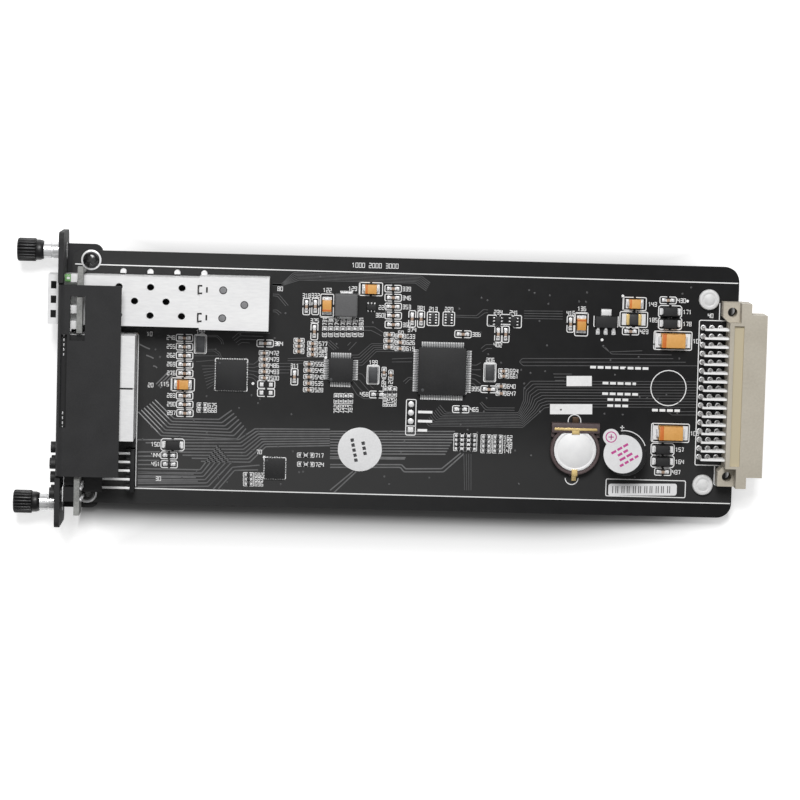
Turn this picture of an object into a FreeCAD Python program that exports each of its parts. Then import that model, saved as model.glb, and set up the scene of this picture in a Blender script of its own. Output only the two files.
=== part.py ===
import FreeCAD, Part
import math
import os
import re
import Sketcher

# Plug-in management card, component side up. +X runs from the front panel to the backplane
# connector, +Y across the card, +Z up. The origin is under the middle of the whole card, on the
# plane that the panel's lower edge and the rear studs stand on. Millimetres throughout.

SIZES = {
    # main board
    "board_length": 195.0,
    "board_width": 74.0,
    "board_thick": 1.6,
    "board_rear_radius": 4.3,
    "board_front_radius": 2.9,
    # folded front panel
    "panel_gap": 1.4,
    "panel_thick": 1.5,
    "panel_length": 85.6,
    "panel_rise": 15.5,
    "panel_below": 5.0,
    "panel_radius": 2.0,
    "bend_radius": 0.8,
    "bend_relief": 0.6,
    "flange_length": 55.4,
    "flange_depth": 18.3,
    "bend_slot_start": 1.1,
    "bend_slot_width": 1.8,
    "bend_slot_length": 27.0,
    "tab_slot_start": 3.65,
    "tab_slot_width": 4.3,
    "tab_slot_length": 12.7,
    "tab_slot_y": 18.1,
    "lug_depth": 10.2,
    "lug_width": 9.1,
    "lug_radius": 2.5,
    # board screws
    "fixing_inset_x": 5.5,
    "fixing_edge": 2.8,
    "fixing_diameter": 2.5,
    "fixing_length": 3.8,
    "fixing_head_diameter": 4.8,
    "fixing_head_height": 1.9,
    "hole_play": 0.4,
    "thread_play": 0.1,
    # captive thumbscrews
    "thumb_y": 36.9,
    "thumb_rise": 2.2,
    "thumb_travel": 4.0,
    "thumb_standoff": 5.15,
    "knob_diameter": 6.8,
    "knob_grip_length": 5.55,
    "knob_collar_diameter": 6.1,
    "knob_collar_length": 2.2,
    "knob_front_wall": 0.95,
    "knurl_count": 20,
    "knurl_depth": 0.3,
    "ferrule_diameter": 4.8,
    "ferrule_overlap": 0.35,
    "ferrule_lip": 1.5,
    "ring_bore_diameter": 4.1,
    "ring_thick": 0.8,
    "screw_diameter": 3.0,
    "screw_neck_diameter": 2.3,
    "slide_play": 0.1,
    "turn_play": 0.15,
    "press_play": 0.02,
    # optics cage
    "cage_y": 23.1,
    "cage_width": 14.4,
    "cage_height": 9.6,
    "cage_wall": 0.45,
    "cage_nose": 3.3,
    "cage_end_x": 40.0,
    "cover_start_x": 37.6,
    "cover_end_x": 57.7,
    "cover_wall": 0.4,
    "cage_play": 0.1,
    "vent_diameter": 2.1,
    "vent_pitch_x": 9.1,
    "vent_pitch_y": 8.2,
    "vent_start_x": 14.3,
    "finger_window_length": 1.6,
    "finger_window_width": 2.2,
    "finger_window_pitch": 4.2,
    "cage_tab_length": 1.6,
    "cage_tab_height": 1.5,
    "cage_tab_pitch": 8.0,
    "cage_tab_start_x": 14.8,
    "window_play": 0.35,
    "socket_length": 9.5,
    "socket_width": 12.4,
    "socket_height": 6.2,
    "socket_slot_height": 1.2,
    "socket_slot_depth": 6.0,
    "socket_slot_width": 9.6,
    # network jacks
    "jack_mid_y": -2.0,
    "jack_pitch": 15.4,
    "jack_width": 15.2,
    "jack_height": 13.1,
    "jack_end_x": 19.4,
    "jack_front_inset": 0.5,
    "shield_wall": 0.4,
    "insert_play": 0.05,
    "port_width": 11.8,
    "port_height": 8.2,
    "port_depth": 13.5,
    "port_floor": 2.6,
    "latch_width": 6.0,
    "latch_height": 1.6,
    "wire_width": 0.4,
    "wire_pitch": 1.02,
    "wire_rise": 2.2,
    "wire_reach": 8.5,
    # boards behind the panel
    "upright_x": 2.6,
    "upright_thick": 1.6,
    "upright_rise": 14.0,
    "lamp_board_low": 10.3,
    "lamp_board_start_y": 13.9,
    "lamp_board_end_y": 32.9,
    "lamp_board_leg": 0.8,
    "lamp_board_leg_y": 31.3,
    "lamp_board_tab_rise": 15.2,
    "lamp_rise": 12.2,
    "lamp_first_y": 29.6,
    "lamp_pitch": 4.5,
    "lamp_size": 1.9,
    "lamp_base": 2.4,
    "lamp_base_depth": 1.4,
    "lamp_set_back": 0.2,
    "key_board_start_y": -17.8,
    "key_board_foot_y": -30.6,
    "key_board_step_y": -35.25,
    "key_board_end_y": -39.2,
    "key_board_step_low": 3.0,
    "key_board_step_high": 4.4,
    # keys and switches
    "key_first_y": -20.0,
    "key_pitch_y": 4.35,
    "key_mid_rise": 8.5,
    "key_half_rise": 3.25,
    "key_diameter": 3.3,
    "key_out": 1.7,
    "key_travel": 0.25,
    "key_play": 0.2,
    "key_seat": 0.6,
    "switch_size": 4.2,
    "switch_depth": 3.2,
    # link between the boards
    "link_first_y": -21.8,
    "link_pitch": 2.54,
    "link_rise": 4.3,
    "link_body_start_x": 17.0,
    "link_body_length": 2.5,
    "link_body_height": 5.6,
    "link_pin": 0.64,
    "link_leg_gap": 1.0,
    "link_socket_depth": 6.0,
    "link_socket_height": 2.5,
    "pin_play": 0.08,
    # backplane connector
    "ear_length": 54.0,
    "ear_width": 5.7,
    "ear_inset": 5.0,
    "ear_height": 5.6,
    "ear_back": 0.2,
    "body_inset": 3.4,
    "body_reach": 2.8,
    "housing_height": 10.7,
    "shell_length": 47.4,
    "shell_reach": 7.4,
    "shell_wall": 1.0,
    "shell_lift": 0.2,
    "cavity_floor": 1.5,
    "ear_hole_spacing": 48.26,
    "ear_hole_diameter": 2.8,
    "ear_hole_inset": 2.3,
    "ear_chamfer": 1.4,
    "recess_length": 41.0,
    "recess_width": 2.85,
    "recess_start": 2.15,
    "recess_depth": 0.8,
    "contact_pitch": 2.54,
    "contact_count": 16,
    "contact_thick": 0.6,
    "contact_low_rise": 2.9,
    "contact_near_inset": 5.02,
    "contact_tip_inset": 0.9,
    "contact_play": 0.1,
    # support studs
    "stud_inset_x": 8.7,
    "stud_y": 27.3,
    "stud_head_diameter": 6.1,
    "stud_head_height": 1.2,
    "stud_shank_diameter": 3.0,
    "stud_foot_diameter": 6.0,
    # flat-pack chips
    "processor_body": 14.0,
    "interface_body": 7.0,
    "flat_pack_thick": 1.4,
    "flat_pack_lift": 0.1,
    # leadless chips
    "network_body": 9.0,
    "clock_body": 6.0,
    "leadless_thick": 0.85,
    # power parts
    "inductor_size": 7.0,
    "inductor_height": 3.0,
    "inductor_radius": 1.2,
    "regulator_length": 6.5,
    "regulator_width": 3.5,
    "regulator_height": 1.6,
    "regulator_tab_width": 3.0,
    "regulator_lead_width": 0.75,
    "regulator_lead_pitch": 2.3,
    "regulator_lead_reach": 1.75,
    "regulator_lead_thick": 0.3,
    "tantalum_large_length": 7.3,
    "tantalum_large_width": 4.3,
    "tantalum_large_height": 2.9,
    "tantalum_small_length": 3.5,
    "tantalum_small_width": 2.8,
    "tantalum_small_height": 1.9,
    "diode_length": 4.3,
    "diode_width": 2.6,
    "diode_height": 2.1,
    "fuse_length": 4.5,
    "fuse_width": 3.2,
    "fuse_height": 0.9,
    "crystal_length": 5.0,
    "crystal_width": 2.9,
    "crystal_height": 1.1,
    "small_chip_length": 2.9,
    "small_chip_width": 1.6,
    "small_chip_height": 1.1,
    # chip parts
    "capacitor_length": 1.6,
    "capacitor_width": 0.8,
    "capacitor_height": 0.8,
    "resistor_length": 1.6,
    "resistor_width": 0.8,
    "resistor_height": 0.45,
    "array_length": 3.2,
    "array_width": 1.6,
    "array_height": 0.55,
    # coin cell and its holder
    "cell_diameter": 12.5,
    "cell_thick": 2.0,
    "cell_play": 0.1,
    "holder_diameter": 15.0,
    "holder_floor": 0.6,
    "holder_bar_length": 14.2,
    "holder_bar_width": 3.2,
    "holder_bar_offset": 6.4,
    "clip_width": 2.6,
    "clip_length": 5.5,
    "clip_thick": 0.3,
    "clip_strip_length": 12.6,
    "clip_strip_width": 0.9,
    # buzzer
    "buzzer_gap": 1.1,
    "buzzer_diameter": 12.0,
    "buzzer_height": 7.5,
}

# The layout of the parts on the board: each place is drawn in millimetres on a board of 195 by 74,
# and taken as a share of the real one, so the parts spread and close up with it.
def along_board(x):
    return f"board_length * {x} / 195"


def over_board(y):
    return f"board_width * ({y}) / 74"


# Places that several pieces share, each written with the sizes above.
DERIVED = {
    "knob_length": "knob_grip_length + knob_collar_length",
    "knob_reach": "thumb_standoff + knob_length",
    "whole_length": "knob_reach + panel_thick + panel_gap + board_length + shell_reach",
    "front_x": "knob_reach - whole_length / 2",
    "back_x": "front_x + panel_thick",
    "board_x": "back_x + panel_gap",
    "rear_x": "board_x + board_length",
    "top_z": "panel_below",
    "under_z": "panel_below - board_thick",
    "panel_top_z": "panel_below + panel_rise",
    "thumb_z": "top_z + thumb_rise",
    "jack_front_x": "front_x + jack_front_inset",
    "jack_depth": "board_x + jack_end_x - jack_front_x",
    "upright_front_x": "board_x + upright_x",
    "switch_front_x": "upright_front_x - switch_depth",
    "holder_height": "holder_floor + cell_thick",
    "fixing_y": "board_width / 2 - fixing_edge",
    "processor_x": along_board(108.7),
    "processor_y": over_board(4.3),
    "interface_x": along_board(79.0),
    "interface_y": over_board(3.9),
    "network_x": along_board(47.0),
    "network_y": over_board(1.6),
    "clock_x": along_board(60.4),
    "clock_y": over_board(-25.6),
    "inductor_x": along_board(80.1),
    "inductor_y": over_board(23.0),
    "regulator_x": along_board(156.3),
    "regulator_y": over_board(20.0),
    "cell_x": along_board(148.3),
    "cell_y": over_board(-17.8),
    "buzzer_x": "cell_x + holder_diameter / 2 + buzzer_gap + buzzer_diameter / 2",
    "buzzer_y": over_board(-18.4),
}

doc = FreeCAD.newDocument("management_card")
sheet = doc.addObject("Spreadsheet::Sheet", "Sizes")
for row, (alias, amount) in enumerate(SIZES.items(), start=1):
    sheet.set(f"A{row}", alias)
    sheet.set(f"B{row}", str(amount))
    sheet.setAlias(f"B{row}", alias)
doc.recompute()

WORD = re.compile(r"[A-Za-z_][A-Za-z0-9_]*")


def spelled_out(text):
    """An expression on the sheet's own cells, with the shared places written in full."""
    def swap(match):
        word = match.group(0)
        if word in DERIVED:
            return "(" + spelled_out(DERIVED[word]) + ")"
        return "Sizes." + word if word in SIZES else word
    return WORD.sub(swap, str(text))


def qualified(text):
    def swap(match):
        word = match.group(0)
        if word in DERIVED:
            return "Places." + word
        return "Sizes." + word if word in SIZES else word
    return WORD.sub(swap, str(text))


def bind(target, path, text):
    target.setExpression(path, qualified(text))


places = doc.addObject("App::FeaturePython", "Places")
for place, rule in DERIVED.items():
    places.addProperty("App::PropertyFloat", place)
    places.setExpression(place, spelled_out(rule))
doc.recompute()


def size(alias):
    return float(sheet.get(alias))


def place(name):
    return float(getattr(places, name))


# Helpers that make bound objects

nodes = []
made = {}


def add(kind, name):
    made[name] = made.get(name, 0) + 1
    return doc.addObject(kind, f"{name}_{made[name]}")


def keep(item, label):
    item.Label = label
    nodes.append(item)
    return item


def put(item, x, y, z):
    bind(item, "Placement.Base.x", x)
    bind(item, "Placement.Base.y", y)
    bind(item, "Placement.Base.z", z)
    return item


def block(name, length, width, height, x, y, z):
    """A box centred on x and y that stands on z."""
    item = add("Part::Box", name)
    bind(item, "Length", length)
    bind(item, "Width", width)
    bind(item, "Height", height)
    return put(item, f"{x} - ({length}) / 2", f"{y} - ({width}) / 2", z)


def span(name, x, y, z):
    """A box between two corners, each given along x, y and z in turn."""
    item = add("Part::Box", name)
    bind(item, "Length", f"({x[1]}) - ({x[0]})")
    bind(item, "Width", f"({y[1]}) - ({y[0]})")
    bind(item, "Height", f"({z[1]}) - ({z[0]})")
    return put(item, x[0], y[0], z[0])


def rod(name, diameter, length, x, y, z, along_x=False):
    """A cylinder from its first end, standing on z or lying along +X."""
    item = add("Part::Cylinder", name)
    if along_x:
        item.Placement.Rotation = FreeCAD.Rotation(FreeCAD.Vector(0, 1, 0), 90)
    bind(item, "Radius", f"({diameter}) / 2")
    bind(item, "Height", length)
    return put(item, x, y, z)


def group(name, items):
    item = add("Part::Compound", name)
    item.Links = items
    return item


def cut(name, base, tools):
    item = add("Part::Cut", name)
    item.Base = base
    item.Tool = tools[0] if len(tools) == 1 else group(f"{name}_tools", tools)
    return item


def join(name, items):
    item = add("Part::MultiFuse", name)
    item.Shapes = items
    return item


def solid(name):
    return add("PartDesign::Body", name)


def outline(flat, points, tag):
    """A closed line through points, each held by its own two bound distances."""
    first = flat.GeometryCount
    count = len(points)
    turn = 2 * math.pi / count
    ring = [FreeCAD.Vector(math.cos(i * turn), math.sin(i * turn), 0) for i in range(count)]
    flat.addGeometry([Part.LineSegment(ring[i], ring[(i + 1) % count]) for i in range(count)])
    for i in range(count):
        flat.addConstraint(Sketcher.Constraint("Coincident", first + i, 2, first + (i + 1) % count, 1))
    for i, point in enumerate(points):
        for kind, start, text in zip(("DistanceX", "DistanceY"), (ring[i].x, ring[i].y), point):
            number = flat.addConstraint(Sketcher.Constraint(kind, first + i, 1, start))
            flat.renameConstraint(number, f"{tag}_{kind}_{i}")
            bind(flat, f"Constraints.{tag}_{kind}_{i}", text)


def circle(flat, x, y, diameter, tag):
    number = flat.GeometryCount
    flat.addGeometry(Part.Circle(FreeCAD.Vector(1, 1, 0), FreeCAD.Vector(0, 0, 1), 1))
    for kind, text in (("DistanceX", x), ("DistanceY", y)):
        held = flat.addConstraint(Sketcher.Constraint(kind, number, 3, 1.0))
        flat.renameConstraint(held, f"{tag}_{kind}")
        bind(flat, f"Constraints.{tag}_{kind}", text)
    held = flat.addConstraint(Sketcher.Constraint("Diameter", number, 2.0))
    flat.renameConstraint(held, f"{tag}_size")
    bind(flat, f"Constraints.{tag}_size", diameter)


def sketch(body, plane, offset, outlines=(), circles=()):
    flat = body.newObject("Sketcher::SketchObject", "Profile")
    support = next(f for f in body.Origin.OriginFeatures if f.Role == plane)
    flat.AttachmentSupport = (support, [""])
    flat.MapMode = "FlatFace"
    bind(flat, "AttachmentOffset.Base.z", offset)
    for number, points in enumerate(outlines):
        outline(flat, points, f"line{number}")
    for number, (x, y, diameter) in enumerate(circles):
        circle(flat, x, y, diameter, f"hole{number}")
    return flat


def pad(body, profile, length):
    feature = body.newObject("PartDesign::Pad", "Pad")
    feature.Profile = profile
    bind(feature, "Length", length)
    return feature


def pocket(body, profile, length):
    """Material taken away along the sketch's own normal."""
    feature = body.newObject("PartDesign::Pocket", "Pocket")
    feature.Profile = profile
    feature.Reversed = True
    bind(feature, "Length", length)
    pockets.append(feature)
    return feature


def revolve(body, profile, axis):
    feature = body.newObject("PartDesign::Revolution", "Revolution")
    feature.Profile = profile
    feature.ReferenceAxis = (profile, [axis])
    feature.Angle = 360
    return feature


def fillet(body, base, radius, wanted):
    doc.recompute()
    edges = [f"Edge{i + 1}" for i, edge in enumerate(base.Shape.Edges) if wanted(edge)]
    feature = body.newObject("PartDesign::Fillet", "Fillet")
    feature.Base = (base, edges)
    bind(feature, "Radius", radius)
    return feature


def rectangle(x, y):
    return [(x[0], y[0]), (x[1], y[0]), (x[1], y[1]), (x[0], y[1])]


def inside(middle, width, wall):
    return (f"{middle} - {width} / 2 + {wall}", f"{middle} + {width} / 2 - {wall}")


def across(middle, width):
    return (f"{middle} - ({width}) / 2", f"{middle} + ({width}) / 2")


pockets = []
SIDES = {"upper": 1, "lower": -1}
NEAR = 0.01


def along(edge, axis):
    """True for a straight edge that runs along X, Y or Z."""
    if len(edge.Vertexes) < 2:
        return False
    run = edge.Vertexes[1].Point - edge.Vertexes[0].Point
    others = [abs(run[i]) for i in range(3) if i != axis]
    return abs(run[axis]) > NEAR and max(others) < NEAR


# Main board: one routed sheet, round at the corners, drilled for what it carries

contact_rows = range(3)
contact_columns = range(int(size("contact_count")))
link_pins = range(5)


def contact_x(row):
    return f"rear_x - contact_near_inset - {row} * contact_pitch"


def contact_y(column):
    return f"({column} - (contact_count - 1) / 2) * contact_pitch"


def link_y(pin):
    return f"link_first_y - {pin} * link_pitch"


LINK_LEG_X = "board_x + link_body_start_x + link_body_length + link_leg_gap"

board = solid("main_board")
sheet_profile = sketch(board, "XY_Plane", "under_z", [
    rectangle(("board_x", "rear_x"), ("-board_width / 2", "board_width / 2"))])
board_pad = pad(board, sheet_profile, "board_thick")
rear_round = fillet(board, board_pad, "board_rear_radius",
                    lambda e: along(e, 2) and e.Vertexes[0].X > 0)
fillet(board, rear_round, "board_front_radius",
       lambda e: along(e, 2) and abs(e.Vertexes[0].X - place("board_x")) < NEAR)
drilled = []
for side in SIDES.values():
    drilled.append(("board_x + fixing_inset_x", f"{side} * fixing_y", "fixing_diameter + hole_play"))
    drilled.append(("rear_x - stud_inset_x", f"{side} * stud_y", "stud_shank_diameter + hole_play"))
    drilled.append(("rear_x - ear_hole_inset", f"{side} * ear_hole_spacing / 2", "ear_hole_diameter"))
pocket(board, sketch(board, "XY_Plane", "under_z", circles=drilled), "board_thick")
keep(board, "main_board")

# Front panel: one folded sheet, with the cover flange bent back over the jacks and two lugs
# bent back under the board

panel = solid("front_panel")
LOW_EDGE = "panel_top_z - panel_thick - bend_radius"
notch = "flange_length / 2 + bend_relief"
wall = sketch(panel, "YZ_Plane", "front_x", [[
    ("-panel_length / 2", "0"), ("panel_length / 2", "0"),
    ("panel_length / 2", "panel_top_z"), (notch, "panel_top_z"),
    (notch, LOW_EDGE), (f"-({notch})", LOW_EDGE),
    (f"-({notch})", "panel_top_z"), ("-panel_length / 2", "panel_top_z")]])
wall_pad = pad(panel, wall, "panel_thick")
corners = fillet(panel, wall_pad, "panel_radius", lambda e: along(e, 0)
                 and abs(abs(e.Vertexes[0].Y) - size("panel_length") / 2) < NEAR)
fold = sketch(panel, "XZ_Plane", "-flange_length / 2", [[
    ("front_x", LOW_EDGE), ("back_x", LOW_EDGE), ("back_x", "panel_top_z - panel_thick"),
    ("front_x + flange_depth", "panel_top_z - panel_thick"),
    ("front_x + flange_depth", "panel_top_z"), ("front_x", "panel_top_z")]])
fold_pad = pad(panel, fold, "flange_length")
outer_bend = fillet(panel, fold_pad, "bend_radius + panel_thick", lambda e: along(e, 1)
                    and abs(e.Vertexes[0].X - place("front_x")) < NEAR
                    and abs(e.Vertexes[0].Z - place("panel_top_z")) < NEAR
                    and abs(e.Length - size("flange_length")) < NEAR)
inner_bend = fillet(panel, outer_bend, "bend_radius", lambda e: along(e, 1)
                    and abs(e.Vertexes[0].X - place("back_x")) < NEAR
                    and abs(e.Vertexes[0].Z - place("panel_top_z") + size("panel_thick")) < NEAR)
lug_far = inner_bend
for side in SIDES.values():
    lug = sketch(panel, "XY_Plane", "under_z - panel_thick", [
        rectangle(("front_x + panel_thick / 2", "back_x + lug_depth"), across(f"{side} * fixing_y", "lug_width"))])
    lug_far = pad(panel, lug, "panel_thick")
lug_ends = fillet(panel, lug_far, "lug_radius", lambda e: along(e, 2)
                  and abs(e.Vertexes[0].X - place("back_x") - size("lug_depth")) < NEAR)


def key_place(number):
    """Where a key sits: single keys at mid height, every second place a pair above and below."""
    columns = ((0, 0), (1, 1), (1, -1), (2, 0), (3, 1), (3, -1))
    column, level = columns[number]
    return (f"key_first_y - {column} * key_pitch_y",
            f"top_z + key_mid_rise + {level} * key_half_rise")


def lamp_y(number):
    return f"lamp_first_y - {number} * lamp_pitch"


KEY_NUMBERS = range(6)
LAMP_NUMBERS = range(4)
LAMP_Z = "top_z + lamp_rise"
round_holes = [(*key_place(number), "key_diameter + 2 * key_play") for number in KEY_NUMBERS]
round_holes += [(f"{side} * thumb_y", "thumb_z", "ferrule_diameter + 2 * press_play")
                for side in SIDES.values()]
jack_half = "(jack_pitch + jack_width) / 2 + window_play"
cage_half = "cage_width / 2 + window_play"
windows = [
    rectangle((f"jack_mid_y - ({jack_half})", f"jack_mid_y + ({jack_half})"),
              ("top_z - window_play", "top_z + jack_height + window_play / 2")),
    rectangle((f"cage_y - ({cage_half})", f"cage_y + ({cage_half})"),
              ("top_z - window_play", "top_z + cage_play + cage_height + window_play"))]
lamp_hole = "lamp_size + 2 * key_play"
for number in LAMP_NUMBERS:
    windows.append(rectangle(across(lamp_y(number), lamp_hole), across(f"({LAMP_Z})", lamp_hole)))
pocket(panel, sketch(panel, "YZ_Plane", "front_x", windows, round_holes), "panel_thick")
slots = [
    rectangle(("front_x + bend_slot_start", "front_x + bend_slot_start + bend_slot_width"),
              ("-bend_slot_length / 2", "bend_slot_length / 2")),
    rectangle(("front_x + tab_slot_start", "front_x + tab_slot_start + tab_slot_width"),
              ("tab_slot_y - tab_slot_length / 2", "tab_slot_y + tab_slot_length / 2"))]
pocket(panel, sketch(panel, "XY_Plane", LOW_EDGE, slots), "panel_thick + bend_radius")
tapped = [("board_x + fixing_inset_x", f"{side} * fixing_y", "fixing_diameter + 2 * thread_play")
          for side in SIDES.values()]
pocket(panel, sketch(panel, "XY_Plane", "under_z - panel_thick", circles=tapped), "panel_thick")
keep(panel, "front_panel")

# Captive thumbscrews: ferrule in the panel, retaining ring that slides in it, screw and knob

CUP_DIAMETER = "ferrule_diameter + 2 * slide_play"
CUP_DEPTH = "thumb_travel + ferrule_overlap + turn_play"
KNOB_REAR = "-thumb_standoff"
KNOB_FRONT = "-(thumb_standoff + knob_length)"
FERRULE_FRONT = "-(thumb_standoff + ferrule_overlap)"
RING_FRONT = f"{FERRULE_FRONT} + ferrule_lip + slide_play"
BORE = "(screw_diameter / 2 + turn_play)"


def turned(name, side, points):
    """A piece turned about X, drawn from the panel's outer face and set on a thumbscrew's axis."""
    body = solid(name)
    revolve(body, sketch(body, "XY_Plane", "0", [points]), "H_Axis")
    return put(body, "front_x", f"{SIDES[side]} * thumb_y", "thumb_z")


def make_ferrule(side):
    body = turned(f"{side}_ferrule", side, [
        (FERRULE_FRONT, BORE), (f"{FERRULE_FRONT} + ferrule_lip", BORE),
        (f"{FERRULE_FRONT} + ferrule_lip", "ring_bore_diameter / 2"),
        ("panel_thick", "ring_bore_diameter / 2"), ("panel_thick", "ferrule_diameter / 2"),
        (FERRULE_FRONT, "ferrule_diameter / 2")])
    keep(body, f"{side}_ferrule")


def make_ring(side):
    inner = "screw_neck_diameter / 2 + slide_play"
    outer = "ring_bore_diameter / 2 - slide_play"
    body = turned(f"{side}_ring", side, [
        (RING_FRONT, inner), (f"{RING_FRONT} + ring_thick", inner),
        (f"{RING_FRONT} + ring_thick", outer), (RING_FRONT, outer)])
    keep(body, f"{side}_retaining_ring")


def make_screw(side):
    head = f"{KNOB_FRONT} + knob_front_wall"
    neck_start = f"{RING_FRONT} - slide_play"
    neck_end = f"{RING_FRONT} + ring_thick + slide_play"
    body = turned(f"{side}_screw", side, [
        (head, "0"), ("panel_thick", "0"), ("panel_thick", "screw_diameter / 2"),
        (neck_end, "screw_diameter / 2"),
        (neck_end, "screw_neck_diameter / 2"), (neck_start, "screw_neck_diameter / 2"),
        (neck_start, "screw_diameter / 2"), (head, "screw_diameter / 2")])
    keep(body, f"{side}_screw")


def make_knob(side):
    socket = "screw_diameter / 2 + press_play"
    cup_end = f"{KNOB_REAR} - ({CUP_DEPTH})"
    blind = f"{KNOB_FRONT} + knob_front_wall - press_play"
    body = turned(f"{side}_knob", side, [
        (KNOB_FRONT, "0"), (blind, "0"), (blind, socket), (cup_end, socket),
        (cup_end, f"({CUP_DIAMETER}) / 2"), (KNOB_REAR, f"({CUP_DIAMETER}) / 2"),
        (KNOB_REAR, "knob_collar_diameter / 2"),
        (f"{KNOB_REAR} - knob_collar_length", "knob_collar_diameter / 2"),
        (f"{KNOB_REAR} - knob_collar_length", "knob_diameter / 2"),
        (KNOB_FRONT, "knob_diameter / 2")])
    half = "knob_diameter * 3.1416 / knurl_count / 3"
    groove = sketch(body, "YZ_Plane", KNOB_FRONT, [[
        ("0", "knob_diameter / 2 - knurl_depth"), (half, "knob_diameter / 2 + knurl_depth"),
        (f"-({half})", "knob_diameter / 2 + knurl_depth")]])
    one = pocket(body, groove, "knob_grip_length")
    doc.recompute()
    ring = body.newObject("PartDesign::PolarPattern", "Knurl")
    ring.Originals = [one]
    ring.Axis = (groove, ["N_Axis"])
    ring.Angle = 360
    bind(ring, "Occurrences", "knurl_count")
    body.Tip = ring
    keep(body, f"{side}_knob")


for side in SIDES:
    make_ferrule(side)
    make_ring(side)
    make_screw(side)
    make_knob(side)

# Optics cage: a thin tube open at the front, with vents, and a rear cover that laps over it

CAGE_FLOOR = "top_z + cage_play"
CAGE_TOP = "top_z + cage_play + cage_height"
CAGE_FRONT = "front_x - cage_nose"
CAGE_END = "board_x + cage_end_x"


tube = block("cage_tube", f"{CAGE_END} - ({CAGE_FRONT})", "cage_width", "cage_height",
             f"({CAGE_END} + {CAGE_FRONT}) / 2", "cage_y", CAGE_FLOOR)
bay = span("cage_bay", (f"{CAGE_FRONT} - cage_wall", f"{CAGE_END} + cage_wall"),
           inside("cage_y", "cage_width", "cage_wall"),
           (f"{CAGE_FLOOR} + cage_wall", f"{CAGE_TOP} - cage_wall"))
vents = []
for step in range(3):
    for level in (-1, 1):
        vents.append(rod("vent", "vent_diameter", "2 * cage_wall",
                         f"board_x + vent_start_x + {step} * vent_pitch_x",
                         f"cage_y + {level} * vent_pitch_y / 2", f"{CAGE_TOP} - 1.5 * cage_wall"))
for step in range(2):
    vents.append(rod("vent", "vent_diameter", "2 * cage_wall",
                     f"board_x + vent_start_x + ({step} + 0.5) * vent_pitch_x", "cage_y",
                     f"{CAGE_TOP} - 1.5 * cage_wall"))
for step in (-1, 0, 1):
    vents.append(block("finger_window", "finger_window_length", "finger_window_width", "2 * cage_wall",
                       f"{CAGE_FRONT} + cage_nose / 2", f"cage_y + {step} * finger_window_pitch",
                       f"{CAGE_TOP} - 1.5 * cage_wall"))
bare_cage = cut("bare_cage", tube, [bay] + vents)
tabs = [block("cage_tab", "cage_tab_length", "cage_wall", "cage_tab_height",
              f"board_x + cage_tab_start_x + {step} * cage_tab_pitch",
              "cage_y + cage_width / 2 + cage_wall / 2", CAGE_FLOOR) for step in range(3)]
keep(join("optics_cage", [bare_cage] + tabs), "optics_cage")

COVER_SIDE = "(cage_width / 2 + cage_play)"
COVER_TOP = f"{CAGE_TOP} + cage_play"
hood = span("hood", ("board_x + cover_start_x", "board_x + cover_end_x"),
            (f"cage_y - {COVER_SIDE} - cover_wall", f"cage_y + {COVER_SIDE} + cover_wall"),
            ("top_z", f"{COVER_TOP} + cover_wall"))
hood_space = span("hood_space", ("board_x + cover_start_x - cover_wall", "board_x + cover_end_x - cover_wall"),
                  (f"cage_y - {COVER_SIDE}", f"cage_y + {COVER_SIDE}"),
                  ("top_z - cover_wall", COVER_TOP))
keep(cut("optics_cover", hood, [hood_space]), "optics_cover")

socket_end = "board_x + cover_end_x - cover_wall - cage_play"
edge_block = block("edge_block", "socket_length", "socket_width", "socket_height",
                   f"{socket_end} - socket_length / 2", "cage_y", "top_z")
edge_slot = block("edge_slot", "socket_slot_depth", "socket_slot_width", "socket_slot_height",
                  f"{socket_end} - socket_length + socket_slot_depth / 2 - cage_wall", "cage_y",
                  "top_z + socket_height / 2")
keep(cut("optics_socket", edge_block, [edge_slot]), "optics_socket")


# Network jacks: folded shield, moulded insert with the plug port, sprung contact wires

def extruded(points, width, pitch, count):
    """A row of like strips: an outline in X and Z, made solid along Y and repeated."""
    first = -(count - 1) / 2 * pitch - width / 2
    corners = [FreeCAD.Vector(x, first, z) for x, z in points]
    strip = Part.Face(Part.makePolygon(corners + corners[:1])).extrude(FreeCAD.Vector(0, width, 0))
    return [strip.translated(FreeCAD.Vector(0, number * pitch, 0)) for number in range(count)]


def feature(label, solids, x, y, z):
    item = add("Part::Feature", label)
    item.Shape = Part.makeCompound(solids)
    put(item, x, y, z)
    return keep(item, label)


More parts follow.
